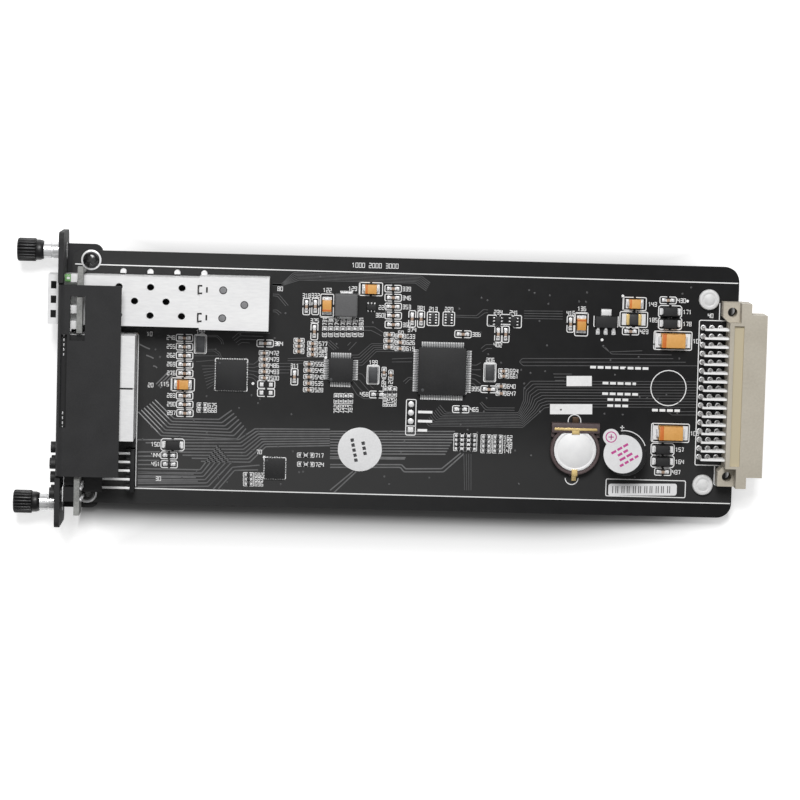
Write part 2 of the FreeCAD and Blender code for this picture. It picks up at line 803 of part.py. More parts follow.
JACK_SHELL = "shield_wall + insert_play"
PORT_Z = "top_z + port_floor"
all_wires = []
for number, sign in ((1, 1), (2, -1)):
    middle = f"(jack_mid_y + {sign} * jack_pitch / 2)"
    case = block("shield_case", "jack_depth", "jack_width", "jack_height",
                 "jack_front_x + jack_depth / 2", middle, "top_z")
    hollow = span("shield_hollow", ("jack_front_x - shield_wall", "jack_front_x + jack_depth - shield_wall"),
                  inside(middle, "jack_width", "shield_wall"),
                  ("top_z - shield_wall", "top_z + jack_height - shield_wall"))
    keep(cut("jack_shield", case, [hollow]), f"jack_shield_{number}")
    core = span("insert_core", ("jack_front_x + insert_play", f"jack_front_x + jack_depth - ({JACK_SHELL})"),
                inside(middle, "jack_width", f"({JACK_SHELL})"),
                ("top_z", f"top_z + jack_height - ({JACK_SHELL})"))
    port = span("port", ("jack_front_x - insert_play", "jack_front_x + port_depth"),
                across(middle, "port_width"), (PORT_Z, f"{PORT_Z} + port_height"))
    latch = span("latch", ("jack_front_x - insert_play", "jack_front_x + port_depth"),
                 across(middle, "latch_width"),
                 (f"{PORT_Z} - latch_height", f"{PORT_Z} + port_height / 2"))
    keep(cut("jack_insert", core, [port, latch]), f"jack_insert_{number}")
    wire = size("wire_width")
    roof = size("port_height")
    sprung = [(0, roof - wire), (0, roof), (-size("wire_reach"), roof - size("wire_rise")),
              (-size("wire_reach"), roof - size("wire_rise") - wire)]
    wires = add("Part::Feature", "jack_wires")
    wires.Shape = Part.makeCompound(extruded(sprung, wire, size("wire_pitch"), 8))
    put(wires, "jack_front_x + port_depth", middle, PORT_Z)
    all_wires.append(wires)
keep(group("jack_contacts", all_wires), "jack_contacts")

# Indicator board: an upright strip over the cage with a tab up into the flange and one leg down

lamp_board = solid("lamp_board")
lamp_outline = sketch(lamp_board, "YZ_Plane", "upright_front_x", [[
    ("lamp_board_start_y", "top_z + lamp_board_low"),
    ("lamp_board_leg_y - lamp_board_leg / 2", "top_z + lamp_board_low"),
    ("lamp_board_leg_y - lamp_board_leg / 2", "top_z"), ("lamp_board_leg_y + lamp_board_leg / 2", "top_z"),
    ("lamp_board_leg_y + lamp_board_leg / 2", "top_z + lamp_board_low"),
    ("lamp_board_end_y", "top_z + lamp_board_low"),
    ("lamp_board_end_y", "panel_top_z - panel_thick"),
    ("tab_slot_y + tab_slot_length / 2 - key_play", "panel_top_z - panel_thick"),
    ("tab_slot_y + tab_slot_length / 2 - key_play", "top_z + lamp_board_tab_rise"),
    ("lamp_board_start_y", "top_z + lamp_board_tab_rise")]])
pad(lamp_board, lamp_outline, "upright_thick")
keep(lamp_board, "lamp_board")

lamps = []
for number in LAMP_NUMBERS:
    base = block("lamp_base", "lamp_base_depth", "lamp_base", "lamp_base",
                 "upright_front_x - lamp_base_depth / 2", lamp_y(number), f"{LAMP_Z} - lamp_base / 2")
    lens = span("lamp_lens", ("back_x + lamp_set_back", "upright_front_x - lamp_base_depth"),
                across(lamp_y(number), "lamp_size"), across(f"({LAMP_Z})", "lamp_size"))
    lamps.append(join("lamp", [base, lens]))
keep(group("status_lamps", lamps), "status_lamps")

# Key board: an upright board behind the panel, stepped clear of the screw and the thumbscrew

key_board = solid("key_board")
key_outline = sketch(key_board, "YZ_Plane", "upright_front_x", [[
    ("key_board_start_y", "top_z"), ("key_board_start_y", "top_z + upright_rise"),
    ("key_board_end_y", "top_z + upright_rise"), ("key_board_end_y", "top_z + key_board_step_high"),
    ("key_board_step_y", "top_z + key_board_step_high"), ("key_board_step_y", "top_z + key_board_step_low"),
    ("key_board_foot_y", "top_z + key_board_step_low"), ("key_board_foot_y", "top_z")]])
pad(key_board, key_outline, "upright_thick")
keep(key_board, "key_board")

switches = []
for number in KEY_NUMBERS:
    y, z = key_place(number)
    case = block("switch_case", "switch_depth", "switch_size", "switch_size",
                 "switch_front_x + switch_depth / 2", y, f"{z} - switch_size / 2")
    well = span("switch_well",
                ("switch_front_x - key_play", "switch_front_x + key_seat + key_travel + key_play"),
                across(y, "key_diameter + key_play"), across(f"({z})", "key_diameter + key_play"))
    switches.append(cut("switch", case, [well]))
keep(group("switch_bodies", switches), "switch_bodies")

for number in KEY_NUMBERS:
    y, z = key_place(number)
    key = solid("key")
    key_profile = sketch(key, "XY_Plane", "0", [[
        ("-key_out", "0"), ("-key_out", "key_diameter / 2"),
        ("switch_front_x - front_x + key_seat", "key_diameter / 2"),
        ("switch_front_x - front_x + key_seat", "0")]])
    revolve(key, key_profile, "H_Axis")
    keep(put(key, "front_x", y, z), f"key_{number + 1}")

# Link: a five-pin right-angle header on the main board and its socket on the key board

LINK_Z = "top_z + link_rise"
LINK_MIDDLE = "link_first_y - 2 * link_pitch"
pin_passage = "link_pin + 2 * pin_play"
header_core = block("header_core", "link_body_length", "5 * link_pitch", "link_body_height",
                    "board_x + link_body_start_x + link_body_length / 2", LINK_MIDDLE, "top_z")
header_holes = [block("header_hole", "2 * link_body_length", pin_passage, pin_passage,
                      "board_x + link_body_start_x + link_body_length / 2", link_y(pin),
                      f"{LINK_Z} - ({pin_passage}) / 2") for pin in link_pins]
keep(cut("link_header", header_core, header_holes), "link_header")
SOCKET_REAR = "upright_front_x + upright_thick + link_socket_depth"
socket_core = block("socket_core", "link_socket_depth", "5 * link_pitch", "link_socket_height",
                    f"{SOCKET_REAR} - link_socket_depth / 2", LINK_MIDDLE,
                    f"{LINK_Z} - link_socket_height / 2")
socket_holes = [block("socket_hole", "2 * link_socket_depth - 2 * link_pin", pin_passage, pin_passage,
                      SOCKET_REAR, link_y(pin), f"{LINK_Z} - ({pin_passage}) / 2") for pin in link_pins]
keep(cut("link_socket", socket_core, socket_holes), "link_socket")


def bent_pin(reach, drop, thick):
    """A straight run forward along +X from x = 0, with a leg down at its rear end."""
    half = thick / 2
    return [(-half, -drop), (-half, half), (reach, half), (reach, -half), (half, -half), (half, -drop)]


pin_reach = size("link_leg_gap") + size("link_body_length") + size("link_body_start_x") \
    - size("upright_x") - size("upright_thick") - size("link_pin") - size("link_socket_depth") / 2
pin_drop = size("link_rise")
pin_outline = [(-x, z) for x, z in bent_pin(pin_reach, pin_drop, size("link_pin"))]
feature("link_pins", extruded(pin_outline, size("link_pin"), size("link_pitch"), len(link_pins)),
        LINK_LEG_X, LINK_MIDDLE, LINK_Z)

# Backplane connector: moulded housing with two ears and a hollow shell, and 48 bent contacts

housing = solid("backplane_housing")
EAR_END = "ear_length / 2"
EAR_START = "ear_length / 2 - ear_width"
ear_front = "rear_x - ear_inset"
ear_back = "rear_x - ear_back"
ear_rear = "rear_x + body_reach"
footprint = sketch(housing, "XY_Plane", "top_z", [[
    (ear_back, f"-({EAR_END})"), (ear_rear, f"-({EAR_END})"), (ear_rear, EAR_END), (ear_back, EAR_END),
    (ear_back, EAR_START), ("rear_x - body_inset", EAR_START),
    ("rear_x - body_inset", f"-({EAR_START})"), (ear_back, f"-({EAR_START})")]])
pad(housing, footprint, "housing_height")
for side in SIDES.values():
    ear = sketch(housing, "XY_Plane", "top_z", [[
        (ear_back, f"{side} * ({EAR_END})"), (ear_front, f"{side} * ({EAR_END})"),
        (ear_front, f"{side} * ({EAR_START} + ear_chamfer)"),
        (f"{ear_front} + ear_chamfer", f"{side} * ({EAR_START})"), (ear_back, f"{side} * ({EAR_START})")]])
    pad(housing, ear, "ear_height")
shell_half = "shell_length / 2"
shell = sketch(housing, "YZ_Plane", ear_rear, [
    rectangle((f"-{shell_half}", shell_half), ("top_z + shell_lift", "top_z + housing_height"))])
pad(housing, shell, "shell_reach - body_reach")
cavity = sketch(housing, "YZ_Plane", "rear_x + cavity_floor", [
    rectangle((f"shell_wall - {shell_half}", f"{shell_half} - shell_wall"),
              ("top_z + shell_lift + shell_wall", "top_z + housing_height - shell_wall"))])
pocket(housing, cavity, "shell_reach - cavity_floor")
groove_half = "contact_thick / 2 + contact_play"
comb = [rectangle((f"{contact_y(column)} - ({groove_half})", f"{contact_y(column)} + {groove_half}"),
                  (f"top_z + contact_low_rise - ({groove_half})",
                   f"top_z + contact_low_rise + 2 * contact_pitch + {groove_half}"))
        for column in contact_columns]
pocket(housing, sketch(housing, "YZ_Plane", "rear_x - body_inset", comb), "body_inset + cavity_floor")
recess = sketch(housing, "XY_Plane", "top_z + housing_height - recess_depth", [
    rectangle(("rear_x - recess_start", "rear_x - recess_start + recess_width"),
              ("-recess_length / 2", "recess_length / 2"))])
pocket(housing, recess, "recess_depth")
ear_holes = [("rear_x - ear_hole_inset", f"{side} * ear_hole_spacing / 2", "ear_hole_diameter")
             for side in SIDES.values()]
pocket(housing, sketch(housing, "XY_Plane", "top_z", circles=ear_holes), "ear_height")
keep(housing, "backplane_housing")

contacts = []
for row in contact_rows:
    rise = size("contact_low_rise") + row * size("contact_pitch")
    reach = size("contact_near_inset") + row * size("contact_pitch") \
        + size("shell_reach") - size("contact_tip_inset")
    pins = add("Part::Feature", "contact_row")
    pins.Shape = Part.makeCompound(extruded(bent_pin(reach, rise, size("contact_thick")),
                                            size("contact_thick"), size("contact_pitch"),
                                            len(contact_columns)))
    put(pins, contact_x(row), "0", f"top_z + contact_low_rise + {row} * contact_pitch")
    contacts.append(pins)
keep(group("backplane_contacts", contacts), "backplane_contacts")

# Support studs and board screws


def turned_up(name, points, x, y, z):
    body = solid(name)
    revolve(body, sketch(body, "XZ_Plane", "0", [points]), "V_Axis")
    return put(body, x, y, z)


studs = []
screws = []
for side in SIDES.values():
    studs.append(turned_up("stud", [
        ("0", "-top_z"), ("stud_foot_diameter / 2", "-top_z"), ("stud_foot_diameter / 2", "-board_thick"),
        ("stud_shank_diameter / 2", "-board_thick"), ("stud_shank_diameter / 2", "0"),
        ("stud_head_diameter / 2", "0"), ("stud_head_diameter / 2", "stud_head_height"),
        ("0", "stud_head_height")],
        "rear_x - stud_inset_x", f"{side} * stud_y", "top_z"))
    screws.append(turned_up("fixing", [
        ("0", "-fixing_length"), ("fixing_diameter / 2", "-fixing_length"), ("fixing_diameter / 2", "0"),
        ("fixing_head_diameter / 2", "0"), ("fixing_head_diameter / 2", "fixing_head_height"),
        ("0", "fixing_head_height")],
        "board_x + fixing_inset_x", f"{side} * fixing_y", "top_z"))
keep(group("support_studs", studs), "support_studs")
keep(group("board_screws", screws), "board_screws")


# Flat-pack chips: moulded bodies held just clear of the board

for name in ("processor", "interface"):
    keep(block(name, f"{name}_body", f"{name}_body", "flat_pack_thick", f"board_x + {name}_x",
               f"{name}_y", "top_z + flat_pack_lift"), f"{name}_chip")

# Leadless chips and the moulded power inductor

for name in ("network", "clock"):
    keep(block(name, f"{name}_body", f"{name}_body", "leadless_thick", f"board_x + {name}_x",
               f"{name}_y", "top_z"), f"{name}_chip")
inductor = solid("inductor")
coil_case = pad(inductor, sketch(inductor, "XY_Plane", "top_z", [
    rectangle(across("(board_x + inductor_x)", "inductor_size"), across("inductor_y", "inductor_size"))]),
    "inductor_height")
fillet(inductor, coil_case, "inductor_radius", lambda e: along(e, 2))
keep(inductor, "power_inductor")

# Regulator with a wide tab on one side and three leads on the other

keep(block("regulator", "regulator_length", "regulator_width", "regulator_height",
           "board_x + regulator_x", "regulator_y", "top_z"), "regulator")
LEAD_Y = "regulator_width / 2 + regulator_lead_reach / 2"
regulator_leads = [block("regulator_tab", "regulator_tab_width", "regulator_lead_reach",
                         "regulator_lead_thick", "board_x + regulator_x", f"regulator_y + {LEAD_Y}", "top_z")]
for step in (-1, 0, 1):
    regulator_leads.append(block("regulator_lead", "regulator_lead_width", "regulator_lead_reach",
                                 "regulator_lead_thick",
                                 f"board_x + regulator_x + {step} * regulator_lead_pitch",
                                 f"regulator_y - ({LEAD_Y})", "top_z"))
keep(group("regulator_leads", regulator_leads), "regulator_leads")


# Small parts that sit flat on the board: each is placed by its middle, from the board's front edge
# and from the middle line, and lies along the card or across it

ALONG, ACROSS = False, True


def small_part(kind, x, y, turned_across):
    length, width = f"{kind}_length", f"{kind}_width"
    if turned_across:
        length, width = width, length
    return block(kind, length, width, f"{kind}_height", f"board_x + {along_board(round(x, 3))}",
                 over_board(round(y, 3)), "top_z")


def small_parts(label, kinds):
    items = [small_part(kind, *spot) for kind, spots in kinds.items() for spot in spots]
    keep(group(label, items), label)


def line_of(x, y, step_x, step_y, count, turned_across):
    return [(x + i * step_x, y + i * step_y, turned_across) for i in range(count)]


small_parts("tantalum_capacitors", {
    "tantalum_large": [(176.1, 15.0, ALONG), (176.3, -12.2, ALONG)],
    "tantalum_small": [(74.5, 22.6, ACROSS), (87.2, 27.8, ALONG), (32.9, -1.6, ALONG),
                       (149.1, 19.1, ACROSS), (164.5, 25.5, ALONG)]})
small_parts("diodes", {"diode": [
    (175.0, 23.5, ALONG), (175.1, 20.0, ALONG), (174.2, -17.1, ALONG), (174.3, -20.7, ALONG),
    (30.3, -19.4, ALONG)]})
small_parts("fuse", {"fuse": [(164.4, 20.9, ALONG)]})
small_parts("crystals", {"crystal": [(37.8, 10.4, ACROSS), (88.5, 2.7, ACROSS), (122.7, 4.3, ACROSS)]})
small_parts("small_chips", {"small_chip": [
    (87.5, 22.5, ALONG), (124.6, 19.4, ACROSS), (129.2, 19.4, ACROSS)]})
small_parts("resistor_arrays", {"array": [(105.6, 19.6, ACROSS), (110.2, 19.7, ACROSS)]})
small_parts("ceramic_capacitors", {"capacitor": (
    # beside the jacks, then beside the network chip
    line_of(33.1, 12.1, 0.07, -2.6, 5, ALONG) + line_of(33.5, -4.9, 0.1, -2.55, 3, ALONG)
    + [(56.7, 11.1, ALONG)] + line_of(56.5, 8.3, 0.05, -1.83, 5, ALONG)
    # around the inductor and the small flat-pack chip
    + line_of(68.5, 22.2, 2.6, 0.1, 2, ACROSS) + line_of(93.7, 28.1, 0.08, -2.63, 5, ALONG)
    + [(71.0, 14.9, ACROSS)] + line_of(66.6, 12.2, 0, -1.6, 3, ALONG) + line_of(70.6, 11.4, 0, -1.6, 3, ALONG)
    + line_of(69.7, 5.4, 0, -1.9, 5, ALONG) + [(65.5, 1.5, ACROSS), (91.7, 3.5, ACROSS), (93.7, 2.7, ACROSS)]
    # around the large flat-pack chip and its crystal
    + line_of(92.9, 14.6, 0, -1.8, 3, ALONG) + line_of(96.2, 14.2, 0, -1.8, 3, ALONG)
    + line_of(99.5, 19.4, 2.6, 0, 2, ACROSS) + line_of(124.8, 15.6, 2.2, 0, 2, ACROSS)
    + [(114.5, 15.3, ALONG), (122.6, -0.7, ALONG)]
    + line_of(126.7, 4.8, 0.1, -1.5, 2, ALONG) + line_of(126.1, 0.3, 0.1, -2.1, 2, ALONG)
    # by the power parts
    + [(145.9, 19.1, ACROSS), (163.6, 17.4, ALONG), (174.3, 26.8, ALONG), (174.5, -23.8, ALONG)])})
small_parts("chip_resistors", {"resistor": (
    # along the front half of the card
    line_of(29.3, -22.6, 0.1, -2.6, 2, ALONG) + line_of(38.7, -7.5, 0, -1.5, 2, ALONG)
    + line_of(52.7, -27.7, 0.05, -1.35, 3, ALONG) + line_of(68.4, -21.5, 1.95, 0, 2, ALONG)
    + line_of(68.5, -24.2, 1.95, 0, 2, ALONG)
    # above and below the small flat-pack chip
    + line_of(74.0, 15.0, 1.77, 0.05, 7, ACROSS) + line_of(77.9, -4.6, 1.4, 0.03, 4, ACROSS)
    + line_of(92.2, -2.3, 1.35, 0.05, 3, ACROSS) + [(90.0, -3.1, ALONG), (114.5, -6.8, ALONG)]
    # two blocks of like parts under the large flat-pack chip
    + line_of(114.2, -14.6, 0, -1.27, 4, ALONG) + line_of(116.1, -14.6, 0, -1.27, 4, ALONG)
    + line_of(118.0, -14.6, 0, -1.27, 4, ALONG) + line_of(122.2, -14.8, 0, -1.35, 4, ALONG)
    + line_of(125.6, -14.8, 0, -1.35, 4, ALONG))})

# Coin cell: moulded holder, the cell lying in it, and a spring strip over the rim

CELL = ("board_x + cell_x", "cell_y")
cup = rod("holder_cup", "holder_diameter", "holder_height", *CELL, "top_z")
bar = block("holder_bar", "holder_bar_length", "holder_bar_width", "holder_height", CELL[0],
            "cell_y + holder_bar_offset", "top_z")
room = rod("holder_room", "cell_diameter + 2 * cell_play", "holder_height", *CELL, "top_z + holder_floor")
keep(cut("battery_holder", join("holder_solid", [cup, bar]), [room]), "battery_holder")
keep(rod("coin_cell", "cell_diameter", "cell_thick", *CELL, "top_z + holder_floor"), "coin_cell")
tongue = block("clip_tongue", "clip_width", "clip_length", "clip_thick", CELL[0],
               "cell_y + holder_diameter / 2 - clip_length / 2 + clip_thick", "top_z + holder_height")
strip = block("clip_strip", "clip_strip_length", "clip_strip_width", "clip_thick", CELL[0],
              "cell_y + holder_bar_offset", "top_z + holder_height")
keep(join("battery_clip", [tongue, strip]), "battery_clip")

# Buzzer: a plain round case

keep(rod("buzzer", "buzzer_diameter", "buzzer_height", "board_x + buzzer_x", "buzzer_y", "top_z"), "buzzer")

# Check everything, then write one file for each piece

doc.recompute()
broken = [item.Label for item in doc.Objects if {"Invalid", "Error"} & set(item.State)]
broken += [item.Label for item in nodes if item.Shape.isNull() or not item.Shape.isValid()]
for item in pockets:
    if item.Shape.Volume >= item.BaseFeature.Shape.Volume - NEAR ** 2:
        broken.append(f"{item.Label} of {item.getParentGeoFeatureGroup().Label} cuts nothing")
if broken:
    raise RuntimeError("pieces that failed: " + ", ".join(broken))
os.makedirs("parts", exist_ok=True)
for item in nodes:
    item.Shape.exportStep(f"parts/{item.Label}.step")
    box = item.Shape.BoundBox
    print(f"{item.Label}: {len(item.Shape.Solids)} solids, x {box.XMin:.2f} {box.XMax:.2f}, "
          f"y {box.YMin:.2f} {box.YMax:.2f}, z {box.ZMin:.2f} {box.ZMax:.2f}")
print(len(nodes), "pieces written")
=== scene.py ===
import math
import random

import bmesh
import bpy
from mathutils import Matrix, Vector


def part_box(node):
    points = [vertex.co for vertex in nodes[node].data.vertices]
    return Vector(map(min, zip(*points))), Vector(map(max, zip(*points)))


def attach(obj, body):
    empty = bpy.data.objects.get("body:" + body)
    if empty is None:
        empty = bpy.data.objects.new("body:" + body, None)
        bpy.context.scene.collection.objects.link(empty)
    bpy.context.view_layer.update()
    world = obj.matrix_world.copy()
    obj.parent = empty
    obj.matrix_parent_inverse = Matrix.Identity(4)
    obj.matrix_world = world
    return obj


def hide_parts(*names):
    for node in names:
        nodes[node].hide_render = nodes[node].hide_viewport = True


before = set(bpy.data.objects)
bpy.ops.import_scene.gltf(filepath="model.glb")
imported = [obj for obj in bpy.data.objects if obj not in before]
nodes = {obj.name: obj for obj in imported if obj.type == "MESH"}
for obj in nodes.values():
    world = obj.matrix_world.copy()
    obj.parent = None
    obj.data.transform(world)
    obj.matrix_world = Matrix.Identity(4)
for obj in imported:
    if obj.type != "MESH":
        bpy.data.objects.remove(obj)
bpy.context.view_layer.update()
MM = 1000  # millimetres in a metre

# Main board
# A 1.6 mm glass-fibre board under black solder resist, routed to its outline. Two screws hold its
# front end to the panel's lugs, and two nylon studs carry the rear end.


def extent(name):
    """The two corners of a CAD node's box, in millimetres."""
    return [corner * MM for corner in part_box(name)]


def node(tree, kind, feeds=None, **settings):
    """Adds a node and gives its outputs; a feed is a plain value or another node's output."""
    made = tree.nodes.new(kind)
    for key, value in settings.items():
        setattr(made, key, value)
    for key, feed in (feeds or {}).items():
        if isinstance(feed, bpy.types.NodeSocket):
            tree.links.new(feed, made.inputs[key])
        else:
            made.inputs[key].default_value = feed
    return made.outputs


def maths(tree, operation, *feeds):
    """One Math node's result."""
    return node(tree, "ShaderNodeMath", dict(enumerate(feeds)), operation=operation)[0]


def mixed(tree, share, tone_1, tone_2):
    """A colour between two, by a share."""
    return node(tree, "ShaderNodeMix", {0: share, 6: tone_1, 7: tone_2}, data_type="RGBA")[2]


def climb(tree, value, first, last, most=1.0, curve="LINEAR"):
    """What climbs from 0 at the first value to the most at the last."""
    ends = {"Value": value, "From Min": first, "From Max": last, "To Max": most}
    return node(tree, "ShaderNodeMapRange", ends, interpolation_type=curve)[0]


def xyz(tree, kind="ShaderNodeTexCoord", output="Object"):
    """X, Y and Z of an input node's vector."""
    return node(tree, "ShaderNodeSeparateXYZ", {0: node(tree, kind)[output]})


def sockets(tree, inputs, outputs):
    """Names a node group's inputs, with what they start at, and its outputs."""
    for label, kind, amount in inputs:
        made = tree.interface.new_socket(label, in_out="INPUT", socket_type="NodeSocket" + kind)
        if amount is not None:
            made.default_value = amount
    for label, kind in outputs:
        tree.interface.new_socket(label, in_out="OUTPUT", socket_type="NodeSocket" + kind)


# two sizes of soft noise: a tone between two colours, a roughness between two values, a fine bump
grain = bpy.data.node_groups.new("surface_grain", "ShaderNodeTree")
sockets(grain, [("Scale", "Float", 600.0), ("Stretch", "Vector", (1, 1, 1)), ("Tone 1", "Color", (0, 0, 0, 1)),
                ("Tone 2", "Color", (1, 1, 1, 1)), ("Rough 1", "Float", 0.3), ("Rough 2", "Float", 0.5),
                ("Depth", "Float", 0.1)],
        [("Color", "Color"), ("Roughness", "Float"), ("Normal", "Vector")])
entry = node(grain, "NodeGroupInput")
spread = node(grain, "ShaderNodeVectorMath", {0: node(grain, "ShaderNodeTexCoord")["Object"], 1: entry["Stretch"]},
              operation="MULTIPLY")[0]
fine = node(grain, "ShaderNodeTexNoise", {"Vector": spread, "Scale": entry["Scale"], "Detail": 4.0,
                                          "Roughness": 0.6})[0]
slow = maths(grain, "MULTIPLY", entry["Scale"], 0.07)
broad = node(grain, "ShaderNodeTexNoise", {"Vector": spread, "Scale": slow, "Detail": 2.0})[0]
share = climb(grain, maths(grain, "ADD", fine, broad), 0.7, 1.3)
rough = node(grain, "ShaderNodeMapRange", {"Value": share, "To Min": entry["Rough 1"],
                                           "To Max": entry["Rough 2"]})[0]
bump = node(grain, "ShaderNodeBump", {"Height": fine, "Strength": entry["Depth"], "Distance": 0.0001})[0]
tone = mixed(grain, share, entry["Tone 1"], entry["Tone 2"])
node(grain, "NodeGroupOutput", {"Color": tone, "Roughness": rough, "Normal": bump})


def shade(*levels):
    """A colour from screen levels, 0 to 255: one for a grey, or three."""
    linear = [(x / 255 / 12.92 if x < 11 else ((x / 255 + 0.055) / 1.055) ** 2.4) for x in levels]
    return (*(linear * 3 if len(linear) == 1 else linear), 1.0)


def finish(name, tone_1, tone_2, rough_1, rough_2, scale=600.0, stretch=(1, 1, 1), depth=0.1, **constants):
    """A material on the grain; constants such as Metallic go on the shader's own sockets."""
    made = bpy.data.materials.new(name)
    made.use_nodes = True
    shader = made.node_tree.nodes["Principled BSDF"]
    for socket, amount in constants.items():
        shader.inputs[socket.replace("_", " ")].default_value = amount
    cover = node(made.node_tree, "ShaderNodeGroup",
                 {"Scale": scale, "Stretch": stretch, "Tone 1": shade(*tone_1), "Tone 2": shade(*tone_2),
                  "Rough 1": rough_1, "Rough 2": rough_2, "Depth": depth}, node_tree=grain)
    for here, there in (("Color", "Base Color"), ("Roughness", "Roughness"), ("Normal", "Normal")):
        made.node_tree.links.new(cover[here], shader.inputs[there])
    return made


def toned(paint, mask, tone):
    """Gives a material another tone where its mask is 1."""
    skin = paint.node_tree.nodes["Principled BSDF"].inputs["Base Color"]
    paint.node_tree.links.new(mixed(paint.node_tree, mask, skin.links[0].from_socket, tone), skin)


def dress(paint, *names):
    """Gives CAD nodes their finish."""
    for name in names:
        for slot in nodes[name].material_slots:
            slot.material = paint


board_top = extent("main_board")[1].z
resist = finish("black_resist", (16, 16, 17), (25, 25, 26), 0.36, 0.52, scale=260.0, depth=0.03,
                Specular_IOR_Level=0.16)
# the routed edge shows the drier glass fibre
tree = resist.node_tree
level = maths(tree, "ABSOLUTE", xyz(tree, "ShaderNodeNewGeometry", "Normal")["Z"])
toned(resist, maths(tree, "LESS_THAN", level, 0.5), shade(40, 39, 36))
# painted sheen, partly copper: it is paler toward the front end and the near side, inside the printed border,
# where the light's sheen falls and copper lies under the resist
place = xyz(tree)
front = climb(tree, place["X"], 0.07, -0.08, 0.5)
near = climb(tree, place["Y"], -0.006, -0.025, 0.4, "SMOOTHSTEP")
inside = maths(tree, "GREATER_THAN", place["Y"], -0.0328)
toned(resist, maths(tree, "ADD", front, maths(tree, "MULTIPLY", near, inside)), shade(66))
dress(resist, "main_board")

# Copper tracks
# Etched copper under the resist, which shows as slightly raised, paler lines in bundles with bends,
# and the small filled holes that carry it through the board.


def evaluated(source):
    """The plain mesh that an object's modifiers make of it; the object goes."""
    bpy.context.view_layer.update()
    made = bpy.data.meshes.new_from_object(source.evaluated_get(bpy.context.evaluated_depsgraph_get()))
    bpy.data.objects.remove(source)
    return made


def placed(name, data):
    """A new object in the scene."""
    made = bpy.data.objects.new(name, data)
    bpy.context.scene.collection.objects.link(made)
    return made


def realised(name, mesh, tree, **values):
    """Runs a Geometry Nodes tree on a mesh and gives back the plain mesh that it makes."""
    source = placed(name, mesh)
    maker = source.modifiers.new("maker", "NODES")
    maker.node_group = tree
    for item in tree.interface.items_tree:
        if item.in_out == "INPUT" and item.name in values:
            maker[item.identifier] = values[item.name]
    return evaluated(source)


def piece(name, mesh, paint=None, body="card", stands_for=(), sharp=38.0):
    """Makes an object of a mesh that is already in place, and fixes it to a body."""
    made = placed(name, mesh)
    if paint:
        mesh.materials.clear()
        mesh.materials.append(paint)
    mesh.shade_smooth()
    mesh.set_sharp_from_angle(angle=math.radians(sharp))
    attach(made, body)
    if stands_for:
        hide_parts(*stands_for)
    return made


def ended(tree, made, paint):
    """Ends a Geometry Nodes tree: plain geometry in one material."""
    made = node(tree, "GeometryNodeRealizeInstances", {0: made})
    made = node(tree, "GeometryNodeSetMaterial", {"Geometry": made[0], "Material": paint})
    node(tree, "NodeGroupOutput", {0: made[0]})


# flat lines of one width along a mesh's edges, with rounded bends
lines = bpy.data.node_groups.new("flat_lines", "GeometryNodeTree")
sockets(lines, [("Runs", "Geometry", None), ("Width", "Float", 0.0002), ("Bend", "Float", 0.0),
                ("Ink", "Material", None)], [("Lines", "Geometry")])
entry = node(lines, "NodeGroupInput")
paths = node(lines, "GeometryNodeMeshToCurve", {0: entry["Runs"]})
paths = node(lines, "GeometryNodeFilletCurve", {"Curve": paths[0], "Radius": entry["Bend"], "Limit Radius": True,
                                                "Count": 3}, mode="POLY")
paths = node(lines, "GeometryNodeSetCurveNormal", {0: paths[0]}, mode="Z_UP")
start, stop = (node(lines, "ShaderNodeCombineXYZ", {"X": maths(lines, "MULTIPLY", entry["Width"], half)})[0]
               for half in (-0.5, 0.5))
ribbon = node(lines, "GeometryNodeCurvePrimitiveLine", {"Start": start, "End": stop})
laid = node(lines, "GeometryNodeCurveToMesh", {"Curve": paths[0], "Profile Curve": ribbon[0]})
ended(lines, laid[0], entry["Ink"])


def printed(name, runs, width, bend, height, ink):
    """Lays runs of (x, y) points in millimetres flat at a height; a run that ends where it starts is closed."""
    spots, joins = [], []
    for run in runs:
        closed = run[0] == run[-1]
        run = run[:-1] if closed else run
        first = len(spots)
        spots += [(x / MM, y / MM, height / MM) for x, y in run]
        joins += [(first + i, first + i + 1) for i in range(len(run) - 1)]
        if closed:
            joins.append((first + len(run) - 1, first))
    mesh = bpy.data.meshes.new(name)
    mesh.from_pydata(spots, joins, [])
    mesh = realised(name, mesh, lines, Width=width / MM, Bend=bend / MM, Ink=ink)
    upward = bmesh.new()
    upward.from_mesh(mesh)
    bmesh.ops.reverse_faces(upward, faces=[face for face in upward.faces if face.normal.z < 0])
    upward.to_mesh(mesh)
    upward.free()
    return piece(name, mesh)


def etched(name, bundles, width, paint, bend=0.8, rise=0.02):
    """Tracks in bundles: each is its first run, its last run and how many lie side by side."""
    runs = []
    for first, last, count in bundles:
        for share in (i / (count - 1) for i in range(count)):
            runs.append([(a + (c - a) * share, b + (d - b) * share) for (a, b), (c, d) in zip(first, last)])
    return printed(name, runs, width, bend, board_top + rise, paint)


